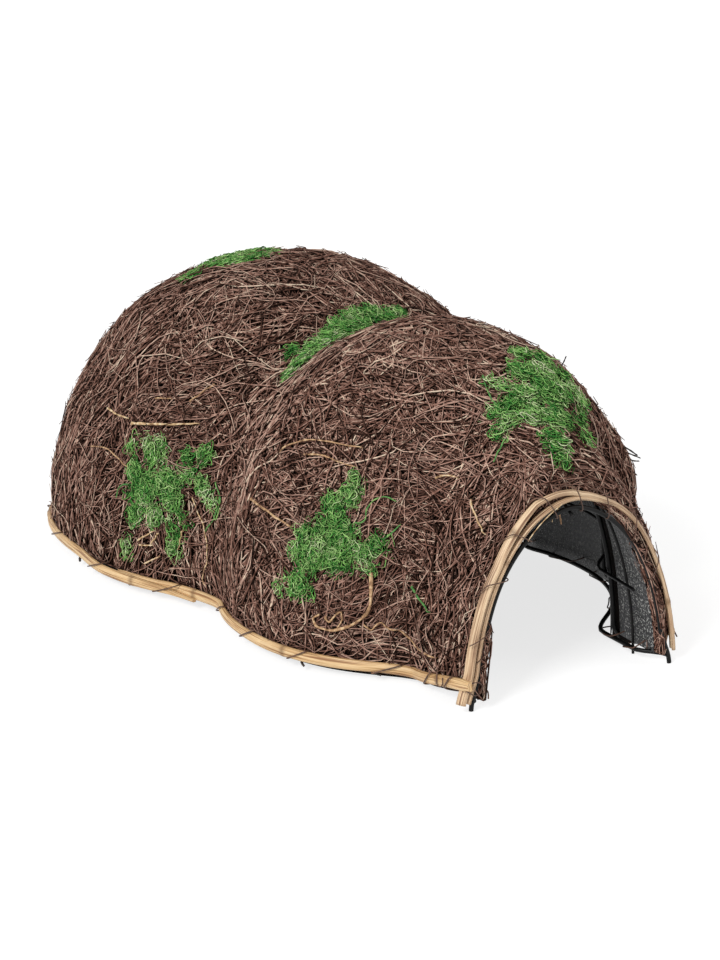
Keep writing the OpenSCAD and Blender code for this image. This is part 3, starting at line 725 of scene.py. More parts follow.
def bark_material(name, stops, flank_shade, sheen=0.06):
    """Dry twigs and roots of heath plants: matt bark, each strand its own tone, with painted shade on the two
    flanks below its outer edge.
    """
    material, tree, shader = new_material(name)
    # Flecks about 4 mm long, drawn coarse enough to show
    fleck = noise(tree, 230.0, 2.0)
    # Painted shade: the flanks below each strand's outer edge take the dark flank colour
    lit_ridge = mapped(tree, painted(tree, "ridge"), 0.25, 0.8)
    connect(tree, shader, {
        "Base Color": mixed(tree, lit_ridge, srgb(flank_shade), tinted(tree, toned(tree, fleck), *stops)),
        "Roughness": roughened(tree, fleck, 0.5, 0.85), "Specular IOR Level": sheen})
    return material


def patchy_material(name, scale, detail, stops, rough, sheen=0.5, relief=None):
    """Material of one noise, scale waves to the metre, which makes its colours, roughness and relief."""
    material, tree, shader = new_material(name)
    value = noise(tree, scale, detail)
    connect(tree, shader, {
        "Base Color": tinted(tree, value, *stops), "Specular IOR Level": sheen,
        "Roughness": rough if isinstance(rough, float) else roughened(tree, value, *rough)})
    if relief:
        connect(tree, shader, {"Normal": bumped(tree, value, *relief)})
    return material


def gap_shade_material():
    """Sheet under the twigs, seen only through their gaps: painted shade, near-black, in fibres about 1.5 mm
    wide.
    """
    return patchy_material("twig_gap_shade", 420.0, 3.0,
                           ((0.3, "#060403"), (0.6, "#120b08"), (0.8, "#241812")),
                           0.95, sheen=0.1, relief=(0.8, 0.0015))


def liner_material(tape, dust_tint):
    """Woven polypropylene ground cover: charcoal tapes about 2.5 mm wide, with pale specks of dust."""
    material, tree, shader = new_material("woven_polypropylene")
    place = (add(tree, "ShaderNodeTexCoord"), "Object")
    # Warp runs round the house and weft along it
    warp, weft = ((add(tree, "ShaderNodeTexWave", {"Vector": place, "Scale": 63.0, "Distortion": 0.6},
                       bands_direction=way, wave_profile="SIN"), "Fac") for way in "YZ")
    weave = calc(tree, "MULTIPLY", warp, weft)
    # Specks about 1.5 mm across, and clouds of about 40 mm
    specks = mapped(tree, noise(tree, 700.0, 2.0), 0.555, 0.64)
    colour = tinted(tree, noise(tree, 26.0, 3.0), (0.35, "#161617"), (0.55, tape), (0.7, "#48484a"))
    woven = mixed(tree, weave, colour, srgb("#3f3f41"))
    connect(tree, shader, {
        "Base Color": mixed(tree, specks, woven, srgb(dust_tint)),
        "Normal": bumped(tree, weave, 0.5, 0.0004), "Roughness": 0.55})
    return material


def wire_material(coat):
    """Steel wire in a black plastic coat: smooth, softly shiny, with scuffs about 8 mm across."""
    return patchy_material("black_coated_steel_wire", 120.0, 3.0,
                           ((0.35, "#040404"), (0.6, coat), (0.75, "#191919")), (0.35, 0.6), sheen=0.2)


def lashing_material(coat):
    """Annealed iron binding wire with a brown plastic skin: dull, rubbed lighter about every 6 mm."""
    return patchy_material("brown_binding_wire", 160.0, 2.0,
                           ((0.3, "#3d281c"), (0.6, coat), (0.8, "#83604a")), (0.4, 0.65))


def root_material(name, dark, mid, pale):
    """Peeled roots, straw stems and moss stems: fibrous, dull, with streaks and rings about 3 mm apart."""
    return patchy_material(name, 330.0, 3.0, ((0.32, dark), (0.5, mid), (0.66, pale)),
                           0.7, relief=(0.6, 0.0006))


def cane_material(name, pale, mid, dark):
    """Split rattan: long straight fibres, a satin rind, darker at the joints and in stains."""
    material, tree, shader = new_material(name)
    # Fibres are about 0.5 mm wide; they are drawn 1.2 mm wide and 50 mm long, so that they show
    line = add(tree, "ShaderNodeCombineXYZ", {0: calc(tree, "MULTIPLY", painted(tree, "run"), 12.0),
                                              1: calc(tree, "MULTIPLY", painted(tree, "round"), 9.0)})
    fibre = (add(tree, "ShaderNodeTexNoise", {"Vector": line, "Scale": 1.6, "Detail": 3.0}), "Fac")
    colour = tinted(tree, fibre, (0.38, dark), (0.48, mid), (0.6, pale))
    # Stains about 30 mm across
    stain = mapped(tree, noise(tree, 34.0, 3.0), 0.5, 0.75, 0.0, 0.45)
    colour = mixed(tree, stain, colour, srgb(dark))
    joint = calc(tree, "MULTIPLY", painted(tree, "joint"), 0.7)
    connect(tree, shader, {
        "Base Color": mixed(tree, joint, colour, srgb("#6e4d2c")),
        "Roughness": roughened(tree, fibre, 0.38, 0.62), "Normal": bumped(tree, fibre, 0.8, 0.0005)})
    return material


def moss_material(settings):
    """Dyed sheet moss: fine springy fibres, deep to fresh green, yellow-green at the tips, with painted shade
    on the flanks below each fibre's outer edge.
    """
    material, tree, shader = new_material("green_sheet_moss")
    # Patches of fresher and older growth about 30 mm across
    patch = noise(tree, 32.0, 1.0)
    colour = tinted(tree, toned(tree, patch), (0.0, settings.moss_dark), (0.26, "#459541"),
                    (0.5, settings.moss_green), (0.74, "#b6e08c"), (1.0, settings.moss_pale))
    tip = mapped(tree, painted(tree, "along"), 0.75, 1.0, 0.0, 0.35)
    colour = mixed(tree, tip, colour, srgb("#a8d080"))
    # Painted shade: the flanks below each fibre's outer edge are near-black green
    lit_ridge = mapped(tree, painted(tree, "ridge"), 0.2, 0.66)
    connect(tree, shader, {
        "Base Color": mixed(tree, lit_ridge, srgb("#0a1204"), colour),
        "Roughness": roughened(tree, patch, 0.6, 0.8), "Specular IOR Level": 0.08})
    return material


# Settings

def distance(name, description, default):
    """Length setting in metres."""
    return bpy.props.FloatProperty(name=name, description=description, default=default, min=0.0, unit="LENGTH")


def tint(name, description, code):
    """Colour setting from an sRGB hex code."""
    return bpy.props.FloatVectorProperty(
        name=name, description=description, default=srgb(code)[:3], size=3, min=0.0, max=1.0, subtype="COLOR")


class HouseThatch(bpy.types.PropertyGroup):
    """Sizes and colours of the brushwood."""
    twig_short: distance("Shortest twig", "Length of the shortest twigs of the weave", 0.04)
    twig_long: distance("Longest twig", "Length of the longest twigs of the weave", 0.13)
    twig_thin: distance("Thinnest twig", "Thickness of the thinnest twigs of the weave", 0.0012)
    twig_thick: distance("Thickest twig", "Thickness of the thickest twigs of the weave", 0.002)
    bark_dark: tint("Dark bark", "Darkest bark", "#21140f")
    bark_brown: tint("Brown bark", "Common bark", "#8c6658")
    bark_pale: tint("Pale bark", "Bleached and peeled bark", "#dcbba6")
    # Painted shade on the flanks of the twigs, below their outer edge
    flank_shade: tint("Flank shade", "Shaded flanks of the twigs", "#120906")
    root: tint("Loose root", "Loose roots on the thatch", "#b58d66")
    straw: tint("Straw", "Broken straws on the thatch", "#d2b083")


class HouseMoss(bpy.types.PropertyGroup):
    """Sizes and colours of the moss."""
    fibre_short: distance("Shortest fibre", "Length of the shortest moss fibres", 0.004)
    fibre_long: distance("Longest fibre", "Length of the longest moss fibres", 0.01)
    moss_dark: tint("Dark moss", "Moss deep in the cushion", "#2c5a24")
    moss_green: tint("Green moss", "Common moss", "#8cca68")
    moss_pale: tint("Pale moss", "Dry tips of the moss", "#eaf4c6")


class HouseFrame(bpy.types.PropertyGroup):
    """Colours of the wire frame, the liner, the canes and the lashings."""
    wire: tint("Wire coat", "Coat of the frame wires", "#0a0a0a")
    liner: tint("Liner", "Woven liner", "#2c2c2e")
    dust: tint("Dust", "Specks on the liner", "#b4b4b0")
    rim_cane: tint("Rim cane", "Split cane round the foot", "#d8b07c")
    arch_cane: tint("Arch cane", "Split cane of the entrance", "#c6a380")
    lashing: tint("Lashing", "Binding wire", "#5e4030")


class HouseStage(bpy.types.PropertyGroup):
    """Floor, light and camera."""
    lens: bpy.props.FloatProperty(
        name="Lens", description="Focal length of the camera", default=77.85, unit="CAMERA")
    key_power: bpy.props.FloatProperty(
        name="Key light", description="Power of the large soft lamp", default=64.0, unit="POWER")
    floor: tint("Floor", "Paper under the house", "#fafafa")


# Operators

class HOUSE_OT_stage(bpy.types.Operator):
    """Floor, soft studio light and the camera at the photograph's viewing angle"""
    bl_idname = "house.stage"
    bl_label = "Stage"

    def execute(self, context):
        settings = context.scene.house_stage
        self.paper(settings)
        self.surroundings(context.scene)
        aim = Vector((0, 0, 0.08))
        for name, place, size, power in (
                ("key_lamp", (-2.3, -1.3, 1.9), 0.9, settings.key_power),
                ("fill_lamp", (1.6, -1.2, 1.5), 1.6, settings.key_power * 0.2)):
            lamp = bpy.data.lights.new(name, "AREA")
            lamp.energy, lamp.size = power, size
            self.stand(context.scene, name, lamp, place, aim - Vector(place))
        # Place, turn and tilt as fitted to the photograph
        place, turn, tilt = (-0.7637, -1.3108, 0.5446), math.radians(-30.27), math.radians(17.47)
        ahead = Vector((-math.sin(turn) * math.cos(tilt), math.cos(turn) * math.cos(tilt), -math.sin(tilt)))
        view = bpy.data.cameras.new("camera")
        view.lens, view.sensor_width = settings.lens, 36.0
        context.scene.camera = self.stand(context.scene, "camera", view, place, ahead)
        context.scene.view_settings.view_transform = "Standard"
        return {"FINISHED"}

    @staticmethod
    def stand(scene, name, data, place, way):
        """Lamp or camera at a place, facing a way."""
        holder = bpy.data.objects.new(name, data)
        holder.location = place
        holder.rotation_euler = way.to_track_quat("-Z", "Y").to_euler()
        scene.collection.objects.link(holder)
        return holder

    @staticmethod
    def paper(settings):
        """White paper, which glows where it is seen but lights nothing by it."""
        material, tree, shader = new_material("matt_white_paper")
        connect(tree, shader, {"Base Color": srgb(settings.floor), "Roughness": 0.9})
        rays = add(tree, "ShaderNodeLightPath")
        seen = calc(tree, "MAXIMUM", (rays, "Is Camera Ray"), (rays, "Is Glossy Ray"))
        seen = calc(tree, "MAXIMUM", seen, (rays, "Is Transmission Ray"))
        # The paper's glow is painted brighter away from the house, so the picture's edges are white
        away = arrow(tree, "LENGTH", (add(tree, "ShaderNodeTexCoord"), "Object"))
        level = mapped(tree, (away, "Value"), 0.7, 1.8, 1.36, 1.8)
        glow = add(tree, "ShaderNodeEmission", {"Color": (1, 1, 1, 1), "Strength": level})
        both = add(tree, "ShaderNodeMixShader", {0: calc(tree, "MULTIPLY", seen, 0.56), 1: shader, 2: glow})
        connect(tree, next(n for n in tree.nodes if n.type == "OUTPUT_MATERIAL"), {"Surface": both})
        # Half the width of the paper, in millimetres
        far = 6000.0
        floor = new_mesh("floor", [(-far, -far, 0), (far, -far, 0), (far, far, 0), (-far, far, 0)],
                         [(0, 1, 2, 3)], material=material)

    @staticmethod
    def surroundings(scene):
        """White air, dimmer as a light than it looks."""
        world = bpy.data.worlds.new("studio_air")
        scene.world = world
        world.use_nodes = True
        tree = world.node_tree
        tree.nodes.clear()
        rays = add(tree, "ShaderNodeLightPath")
        seen = calc(tree, "MAXIMUM", (rays, "Is Camera Ray"), (rays, "Is Glossy Ray"))
        level = mapped(tree, seen, 0.0, 1.0, 0.36, 1.0)
        air = add(tree, "ShaderNodeBackground", {"Color": (1, 1, 1, 1), "Strength": level})
        add(tree, "ShaderNodeOutputWorld", {"Surface": air})


def hoop_path(station, depth, splay=0.0):
    """Points of a hoop across the house, from the ground on the left to the ground on the right."""
    v = np.concatenate([[0.0], np.linspace(0.6, 90, 60)])
    foot_out = splay * (1 - smooth(skin(station, v, depth, 1)[:, 2] / SPLAY_HEIGHT))
    depth = depth - (0 if station else legs_out(v)) - foot_out
    left = skin(station, v, depth, 1)
    right = skin(EDGE - station, v[::-1][1:], depth[::-1][1:], 1)
    path = np.concatenate([left, right])
    path[:, 2] = np.maximum(path[:, 2], LOWEST_WIRE)
    return path


def rail_path(s_from, z):
    """Points of a level rail inside the hoops, round the back of the house."""
    u = edge_columns(s_from, S2, 90, True)
    v = rise(u, HOOP_DEPTH, 1, z)
    return skin(u, v, HOOP_DEPTH, 1) + RAIL_STEP * inward(u, v, HOOP_DEPTH, 1)


def ridge_path():
    """Points of the ridge wire: under the hoop crowns, then down the back to the ground."""
    back = S2 + APSE / 2
    s = np.linspace(-3, S2, 80)
    line = [(a, b, RAIL_STEP) for a, b in zip(s, crown(s, HOOP_DEPTH, 1)[1])]
    for v in np.linspace(88, 1, 50):
        p = skin(back, v, HOOP_DEPTH, 1)
        line.append((p[1] + MIDDLE_Y, p[2], WELD_GAP + (RAIL_STEP - WELD_GAP) * float(smooth((v - 70) / 16))))
    line = np.array(line)
    t = unit(np.gradient(line[:, :2], axis=0))
    path = np.stack([-lean(line[:, 0]) * line[:, 1], line[:, 0] + t[:, 1] * line[:, 2] - MIDDLE_Y,
                     line[:, 1] - t[:, 0] * line[:, 2]], 1)
    end = skin(back, 0, HOOP_DEPTH + WELD_GAP, 1)
    return np.concatenate([path, [[0, end[1], 0]]])


class HOUSE_OT_wires(bpy.types.Operator):
    """Welded frame of black coated wire: hoops, ribs, rails, ridge and base"""
    bl_idname = "house.wires"
    bl_label = "Frame wires"

    def execute(self, context):
        material = wire_material(context.scene.house_frame.wire)
        base = edge_columns(0.0, S2, 90, True)
        # The base wire's two ends bend out to the feet of the entrance hoop
        ends_out = BASE_ENDS_OUT * smooth(1 - np.minimum(base, EDGE - base) / BASE_ENDS_RUN)
        paths = {
            "base_wire": (edge_at(base, HOOP_DEPTH, ends_out - BASE_STEP, BASE_HEIGHT), HOOP_WIRE),
            "entrance_hoop": (hoop_path(0.0, HOOP_DEPTH), HOOP_WIRE),
            "porch_hoop": (hoop_path(PORCH_STATION, THIN_DEPTH), PORCH_WIRE),
            **{name + "_hoop": (hoop_path(station, HOOP_DEPTH, HOOP_SPLAY), HOOP_WIRE) for name, station in (
                ("throat", THROAT_STATION), ("front", FRONT_STATION), ("waist", WAIST_STATION),
                ("middle", MIDDLE_STATION), ("rear", S2))},
            "low_rail": (rail_path(12.0, LOW_RAIL), RAIL_WIRE),
            "high_rail": (rail_path(FRONT_STATION - 8, HIGH_RAIL), RAIL_WIRE),
            "ridge_wire": (ridge_path(), RAIL_WIRE)}
        for name, place in (("left_rib", 0.25), ("right_rib", 0.75)):
            u = S2 + APSE * place
            top = float(rise(u, HOOP_DEPTH, 1, HIGH_RAIL)) + 7
            paths[name] = (skin(u, np.linspace(0, top, 50), HOOP_DEPTH, 1), HOOP_WIRE)
        for node, (path, thick) in paths.items():
            settle(drawn_tube(node + "_coated", path, thick * WIRE_SHARE, 12, material), "frame_wire", node)
        return {"FINISHED"}


class HOUSE_OT_liners(bpy.types.Operator):
    """Three sheets of charcoal ground cover stretched over the frame under the thatch"""
    bl_idname = "house.liners"
    bl_label = "Liner sheets"

    def execute(self, context):
        material = liner_material(context.scene.house_frame.liner, context.scene.house_frame.dust)
        front_end = WAIST_STATION - GAP / 2
        # The porch liner takes three of these bays; one is left open between it and the front liner
        bay = (front_end - THATCH_FRONT) / 19
        for node, s_from, s_to, count, back, low, hoops in (
                ("porch_liner", THATCH_FRONT, THATCH_FRONT + 3 * bay, 12, False, PORCH_LINER_FOOT,
                 ["porch_hoop", "entrance_hoop"]),
                ("front_liner", THATCH_FRONT + 4 * bay, front_end, 60, False, LINER_FOOT,
                 ["throat_hoop", "front_hoop"]),
                ("rear_liner", front_end + GAP, S2, 44, True, LINER_FOOT,
                 ["waist_hoop", "middle_hoop", "rear_hoop"])):
            sheet = shell(node + "_sheet", edge_columns(s_from, s_to, count, back), 44, back,
                          (LINER_OUT, 1), (LINER_IN, 1), material, low, wrinkle=1.0)
            settle(sheet, "liner", node)
        return {"FINISHED"}


def cane_section(wide, thick):
    """Half-round section of a split cane: flat inside, domed outside."""
    a = np.linspace(0, np.pi, 12)
    dome = np.stack([wide / 2 * np.sign(np.cos(a)) * np.abs(np.cos(a)) ** 0.8,
                     thick * (0.32 + 0.68 * np.sin(a) ** 0.9)], 1)
    flat = np.array([[-wide / 2, 0.12 * thick], [-wide * 0.44, 0], [wide * 0.44, 0], [wide / 2, 0.12 * thick]])
    return np.concatenate([dome, flat])


def cane(name, path, outs, wide, thick, joints, material, depth=0.0, low=None):
    """Split cane along a path in millimetres, with swollen joints at these distances along it."""
    path, outs = np.asarray(path), np.asarray(outs)
    t = unit(np.gradient(path, axis=0))
    n = unit(outs - (outs * t).sum(1, keepdims=True) * t)
    b = np.cross(t, n)
    run = travelled(path)
    knot = np.zeros(len(path))
    for place in joints:
        knot = np.maximum(knot, np.exp(-((run - place) / 2.2) ** 2))
    waver = 1 + 0.03 * np.sin(run / 23.0 + 1) + 0.02 * np.sin(run / 9.0)
    low = np.ones(len(path)) if low is None else low
    rings = []
    for i in range(len(path)):
        section = cane_section(wide * low[i] * waver[i] * (1 + 0.05 * knot[i]), thick * (1 + 0.16 * knot[i]))
        rings.append(path[i] + section[:, :1] * b[i] + (section[:, 1:] - depth) * n[i])
    obj = swept(name, rings, material)
    set_floats(obj.data, "joint", np.repeat(knot, len(rings[0])))
    return obj


def rear_step(u):
    """How far the rear rim cane steps out where it laps over the other two."""
    s = np.minimum(u, EDGE - u)
    return (RIM_THICK + LAP_GAP) * (1 - smooth((s - LAP_BACK - 10) / 50))


def arch_at(v, depth, y):
    """Point of the entrance arch at angle v, from the left foot at 0 to the right one at 180."""
    v = np.asarray(v, float)
    p = np.where(v[..., None] <= 90, skin(0.0, v, depth, 1), skin(EDGE, 180 - v, depth, 1))
    return np.stack([p[..., 0], np.full(v.shape, y - MIDDLE_Y), p[..., 2]], -1)


def legs_out(v):
    """How far out the arch is drawn at angle v: nothing at the crown, most at the left foot."""
    v = np.asarray(v, float)
    return LEGS_OUT * smooth((np.abs(90 - v) - 12) / np.where(v < 90, 45, 30)) + FOOT_OUT * smooth(1 - v / 13)


def outer_depth(v):
    """Depth of the outer arch cane, which bends out at the left shoulder."""
    kink = ARCH_KINK * np.clip(1 - np.abs(np.asarray(v, float) - 70) / 26, 0, 1)
    return OUTER_CANE_DEPTH - legs_out(v) - kink


def rim_canes(material):
    """The canes round the foot of the house; the rear one laps over the ends of the other two."""
    def lay(node, u, step, height, joints, low):
        """One cane, step outside the edge and low of its full width at each point."""
        path = edge_at(u, 0, step, height)
        out = edge_at(u, 0, step + 1, height) - path
        piece = cane(node + "_split", path, out, RIM_HEIGHT, RIM_THICK, joints, material, low=low)
        settle(piece, "rim_cane", node)

    for node, u, joints in (
            ("left_rim_cane", np.linspace(-RIM_AHEAD, LAP_BACK, 220), (38, 165, 296)),
            ("right_rim_cane", EDGE - np.linspace(LAP_BACK, RIGHT_RIM_END, 190), (70, 210, 330))):
        reach = np.minimum(u - u[0], u[-1] - u)
        lay(node, u, RIM_GAP, rim_low(u) + RIM_HEIGHT / 2, joints, 0.82 + 0.18 * smooth(reach / 9))
    u = np.linspace(LAP_FRONT, EDGE - LAP_FRONT, 420)
    # It is cut thin where it laps
    low = 0.3 + 0.7 * smooth((np.minimum(u, EDGE - u) - LAP_FRONT) / (RIM_LAP * 0.8))
    lay("rear_rim_cane", u, RIM_GAP + rear_step(u), rim_low(u) + RIM_HEIGHT * low / 2,
        (60, 240, 455, 640, 815), low)


def arch_canes(material):
    """The inner and outer cane of the entrance arch."""
    v = np.linspace(3, 175.5, 200)
    towards = unit(arch_at(v + 0.5, 5, 0) - arch_at(v - 0.5, 5, 0))
    out = np.stack([-towards[:, 2], 0 * v, towards[:, 0]], 1)
    # Over the crown the inner cane closes up to the outer one, and on the right it is tucked behind it
    tuck, close = smooth((v - 96) / 34), smooth((v - 36) / 34)
    depth = INNER_CANE_DEPTH - legs_out(v) + 0.4 - 2.8 * close - 3.8 * tuck
    line = arch_at(v, depth, -0.5) + np.outer(tuck, (0, 2.8, 0))
    inner = cane("inner_arch_cane_split", line, out, ARCH_WIDTH * 0.7, ARCH_WIDTH * 0.4, (96, 262), material,
                 depth=ARCH_WIDTH * 0.2, low=1 - 0.4 * tuck)
    settle(inner, "arch_cane", "inner_arch_cane")
    # The outer cane is canted between facing out and facing forward
    cant = math.radians(45)
    face = out * math.cos(cant) + np.array([0, -math.sin(cant), 0])
    outer = cane("outer_arch_cane_split", arch_at(v, outer_depth(v), -1.0), face, ARCH_WIDTH, ARCH_THICK,
                 (118, 300), material, depth=ARCH_THICK / 2,
                 low=1 - 0.4 * smooth((v - 45) / 35) - 0.12 * tuck)
    settle(outer, "arch_cane", "outer_arch_cane")


class HOUSE_OT_canes(bpy.types.Operator):
    """Split-cane rims round the foot of the house and the two canes of the entrance arch"""
    bl_idname = "house.canes"
    bl_label = "Split canes"

    def execute(self, context):
        settings = context.scene.house_frame
        rim_canes(cane_material("split_rattan_rim", "#efcf9f", settings.rim_cane, "#94683f"))
        arch_canes(cane_material("split_rattan_arch", "#ecd0aa", settings.arch_cane, "#7c5a42"))
        return {"FINISHED"}


def rounded(path, times):
    """Path with its corners cut again and again, so that a bent wire has no kinks."""
    path = np.asarray(path, float)
    for _ in range(times):
        a, b = path[:-1], path[1:]
        cut = np.stack([0.75 * a + 0.25 * b, 0.25 * a + 0.75 * b], 1).reshape(-1, 3)
        path = np.concatenate([path[:1], cut, path[-1:]])
    return path


def rim_lashing_path():
    """Binding wire round the rim cane and the base wire, turn by turn between the hoop feet."""
    bays = ((0, PORCH_STATION, 1), (PORCH_STATION, THROAT_STATION, 1), (THROAT_STATION, FRONT_STATION, 2),
            (FRONT_STATION, WAIST_STATION, 2), (WAIST_STATION, MIDDLE_STATION, 1), (MIDDLE_STATION, S2, 1),
            (S2, S2 + APSE / 4, 2), (S2 + APSE / 4, S2 + APSE / 2, 2))
    turns = [(a + (b - a) / n * (i + 0.3), a + (b - a) / n * (i + 0.62)) for a, b, n in bays for i in range(n)]
    turns += [(EDGE - b, EDGE - a) for a, b in reversed(turns)]

    def face(u):
        """How far out the wire lies on the rim at edge place u."""
        return RIM_OUT + LASH_STEP + (float(rear_step(u)) if min(u, EDGE - u) > LAP_FRONT - 6 else 0)

    tight = 0.3 - HOOP_WIRE * 0.1
    inside = BASE_STEP + HOOP_WIRE / 2 + tight
    path = []
    for i, (a, b) in enumerate(turns):
        after = turns[i + 1][0] if i + 1 < len(turns) else b + 2
        m = (a + b) / 2
        top = rim_low(b) + RIM_HEIGHT + LASH_STEP
        under = BASE_HEIGHT - HOOP_WIRE / 2 - tight - 0.22 * (rim_low(after) - RIM_CLEAR)
        path += [edge_at(a, 0, face(a), rim_low(a) - LASH_STEP),
                 edge_at(m, 0, max(face(a), face(m), face(b)), rim_low(m) + RIM_HEIGHT / 2),
                 edge_at(b, 0, face(b), top), edge_at(b, 0, 0.0, top),
                 edge_at(b, HOOP_DEPTH, -inside, BASE_HEIGHT + HOOP_WIRE / 2 + tight),
                 edge_at((b + after) / 2, HOOP_DEPTH, -inside - 0.6, BASE_HEIGHT),
                 edge_at(after, HOOP_DEPTH, -inside, under)]
    return np.array(path) * (-1, 1, 1)


def arch_lashing_path():
    """Binding wire round both arch canes and the entrance hoop."""
    span = 140 / ARCH_TURNS
    front = -1 - CANT - LASH_STEP
    back = max(HOOP_WIRE / 2, ARCH_WIDTH * 0.43, CANT - 1) + LASH_STEP
    inner = HOOP_DEPTH + HOOP_WIRE / 2 + 0.2
    path = []
    for i in range(ARCH_TURNS):
        a = 20 + span * i
        b, c = a + span * 0.35, a + span * 0.7
        # The turns are pulled tighter on the right, where the canes lie one behind the other
        loose_a, loose_c = (CANT + LASH_STEP) * (1 - 0.7 * smooth((np.array((a, c)) - 110) / 30))
        path += [arch_at(a, outer_depth(a) - loose_a, front + 2),
                 arch_at(a + span * 0.1, outer_depth(a), front - 0.3),
                 arch_at(b, inner - legs_out(b), front + 0.6),
                 arch_at(b, inner - legs_out(b), back), arch_at(c, outer_depth(c) - loose_c, back)]
    return np.array(path)


class HOUSE_OT_lashings(bpy.types.Operator):
    """Brown binding wire round the rim and the entrance arch"""
    bl_idname = "house.lashings"
    bl_label = "Lashings"

    def execute(self, context):
        material = lashing_material(context.scene.house_frame.lashing)
        for node, path, thick in (("rim_lashing", rim_lashing_path(), LASH_WIRE),
                                  ("arch_lashing", arch_lashing_path(), LASH_WIRE * 0.8)):
            settle(drawn_tube(node + "_wire", rounded(path, 3), thick, 8, material), "lashing_wire", node)
        return {"FINISHED"}


# Cushions seen in the photograph: how far each stands up, then its round spots as x, station, height and reach
MOSS_SPOTS = {
    "moss_saddle": (0.9, ((46, 300, 187, 6), (33, 296, 187, 8), (20, 297, 190, 10), (6, 295, 188, 11),
        (-8, 290, 185, 10), (-20, 285, 182, 9), (-32, 279, 179, 9), (-44, 273, 176, 9), (-58, 262, 174, 9),
        (-69, 250, 171, 8), (-78, 247, 168, 6), (-56, 283, 175, 5))),
    "moss_crown": (0.35, ((-76, 425, 206, 4), (-69, 423, 210, 5), (-52, 422, 215, 5), (-42, 415, 218, 7),
        (-30, 408, 220, 7), (-18, 408, 222, 7), (-5, 413, 222, 6), (-36, 436, 217, 20), (-12, 440, 217, 24),
        (-22, 462, 211, 26), (2, 466, 210, 22))),
    "moss_left_rear": (1.0, ((-167, 326, 88, 6.5), (-155, 311, 104, 8.4), (-165, 311, 79, 12.1),
        (-154, 294, 85, 11.2), (-172, 317, 59, 7.4), (-164, 299, 61, 7.4), (-153, 287, 73, 7.4),
        (-172, 327, 74, 4.7), (-163, 335, 105, 3.7), (-157, 323, 110, 3.7), (-152, 312, 111, 4.7),
        (-140, 287, 105, 4.7), (-132, 275, 109, 5.6), (-142, 281, 94, 4.7), (-139, 268, 89, 4.7),
        (-139, 261, 83, 4.7), (-138, 250, 79, 3.7), (-151, 277, 62, 3.7), (-156, 283, 54, 3.7),
        (-158, 281, 39, 5.6), (-155, 278, 49, 3.7), (-177, 322, 37, 3.7), (-178, 322, 28, 3.7))),
    "moss_left_front": (1.0, ((-105, 104, 133, 4.7), (-110, 104, 123, 7.4), (-117, 112, 117, 7.4),
        (-122, 121, 118, 3.7), (-118, 107, 109, 5.6), (-125, 114, 100, 6.5), (-132, 124, 93, 6.5),
        (-118, 101, 97, 9.3), (-129, 112, 85, 9.3), (-137, 126, 80, 5.6), (-120, 98, 84, 9.3),
        (-111, 88, 88, 6.5), (-103, 81, 94, 5.6), (-125, 103, 79, 4.7), (-109, 83, 80, 4.7),
        (-134, 117, 73, 5.6), (-138, 122, 64, 5.6), (-141, 125, 55, 4.7), (-137, 116, 59, 4.7),
        (-146, 138, 52, 3.7), (-144, 134, 61, 3.7))),
    "moss_porch": (1.0, ((27, 110, 198, 7), (44, 109, 192, 7), (12, 90, 193, 8), (28, 88, 189, 12),
        (50, 96, 184, 7), (-1, 65, 185, 11), (22, 68, 181, 13), (52, 84, 175, 8), (56, 77, 166, 6),
        (-17, 56, 179, 8), (-5, 45, 176, 9), (12, 43, 172, 11), (38, 57, 162, 7), (35, 75, 180, 10),
        (-6, 25, 167, 6), (-9, 16, 162, 5), (-4, 17, 162, 5), (-9, 7, 157, 5), (-12, 85, 192, 4),
        (-10, 76, 188, 5), (-25, 59, 178, 5), (-24, 48, 174, 5), (-32, 46, 168, 4), (27, 33, 158, 5)))}


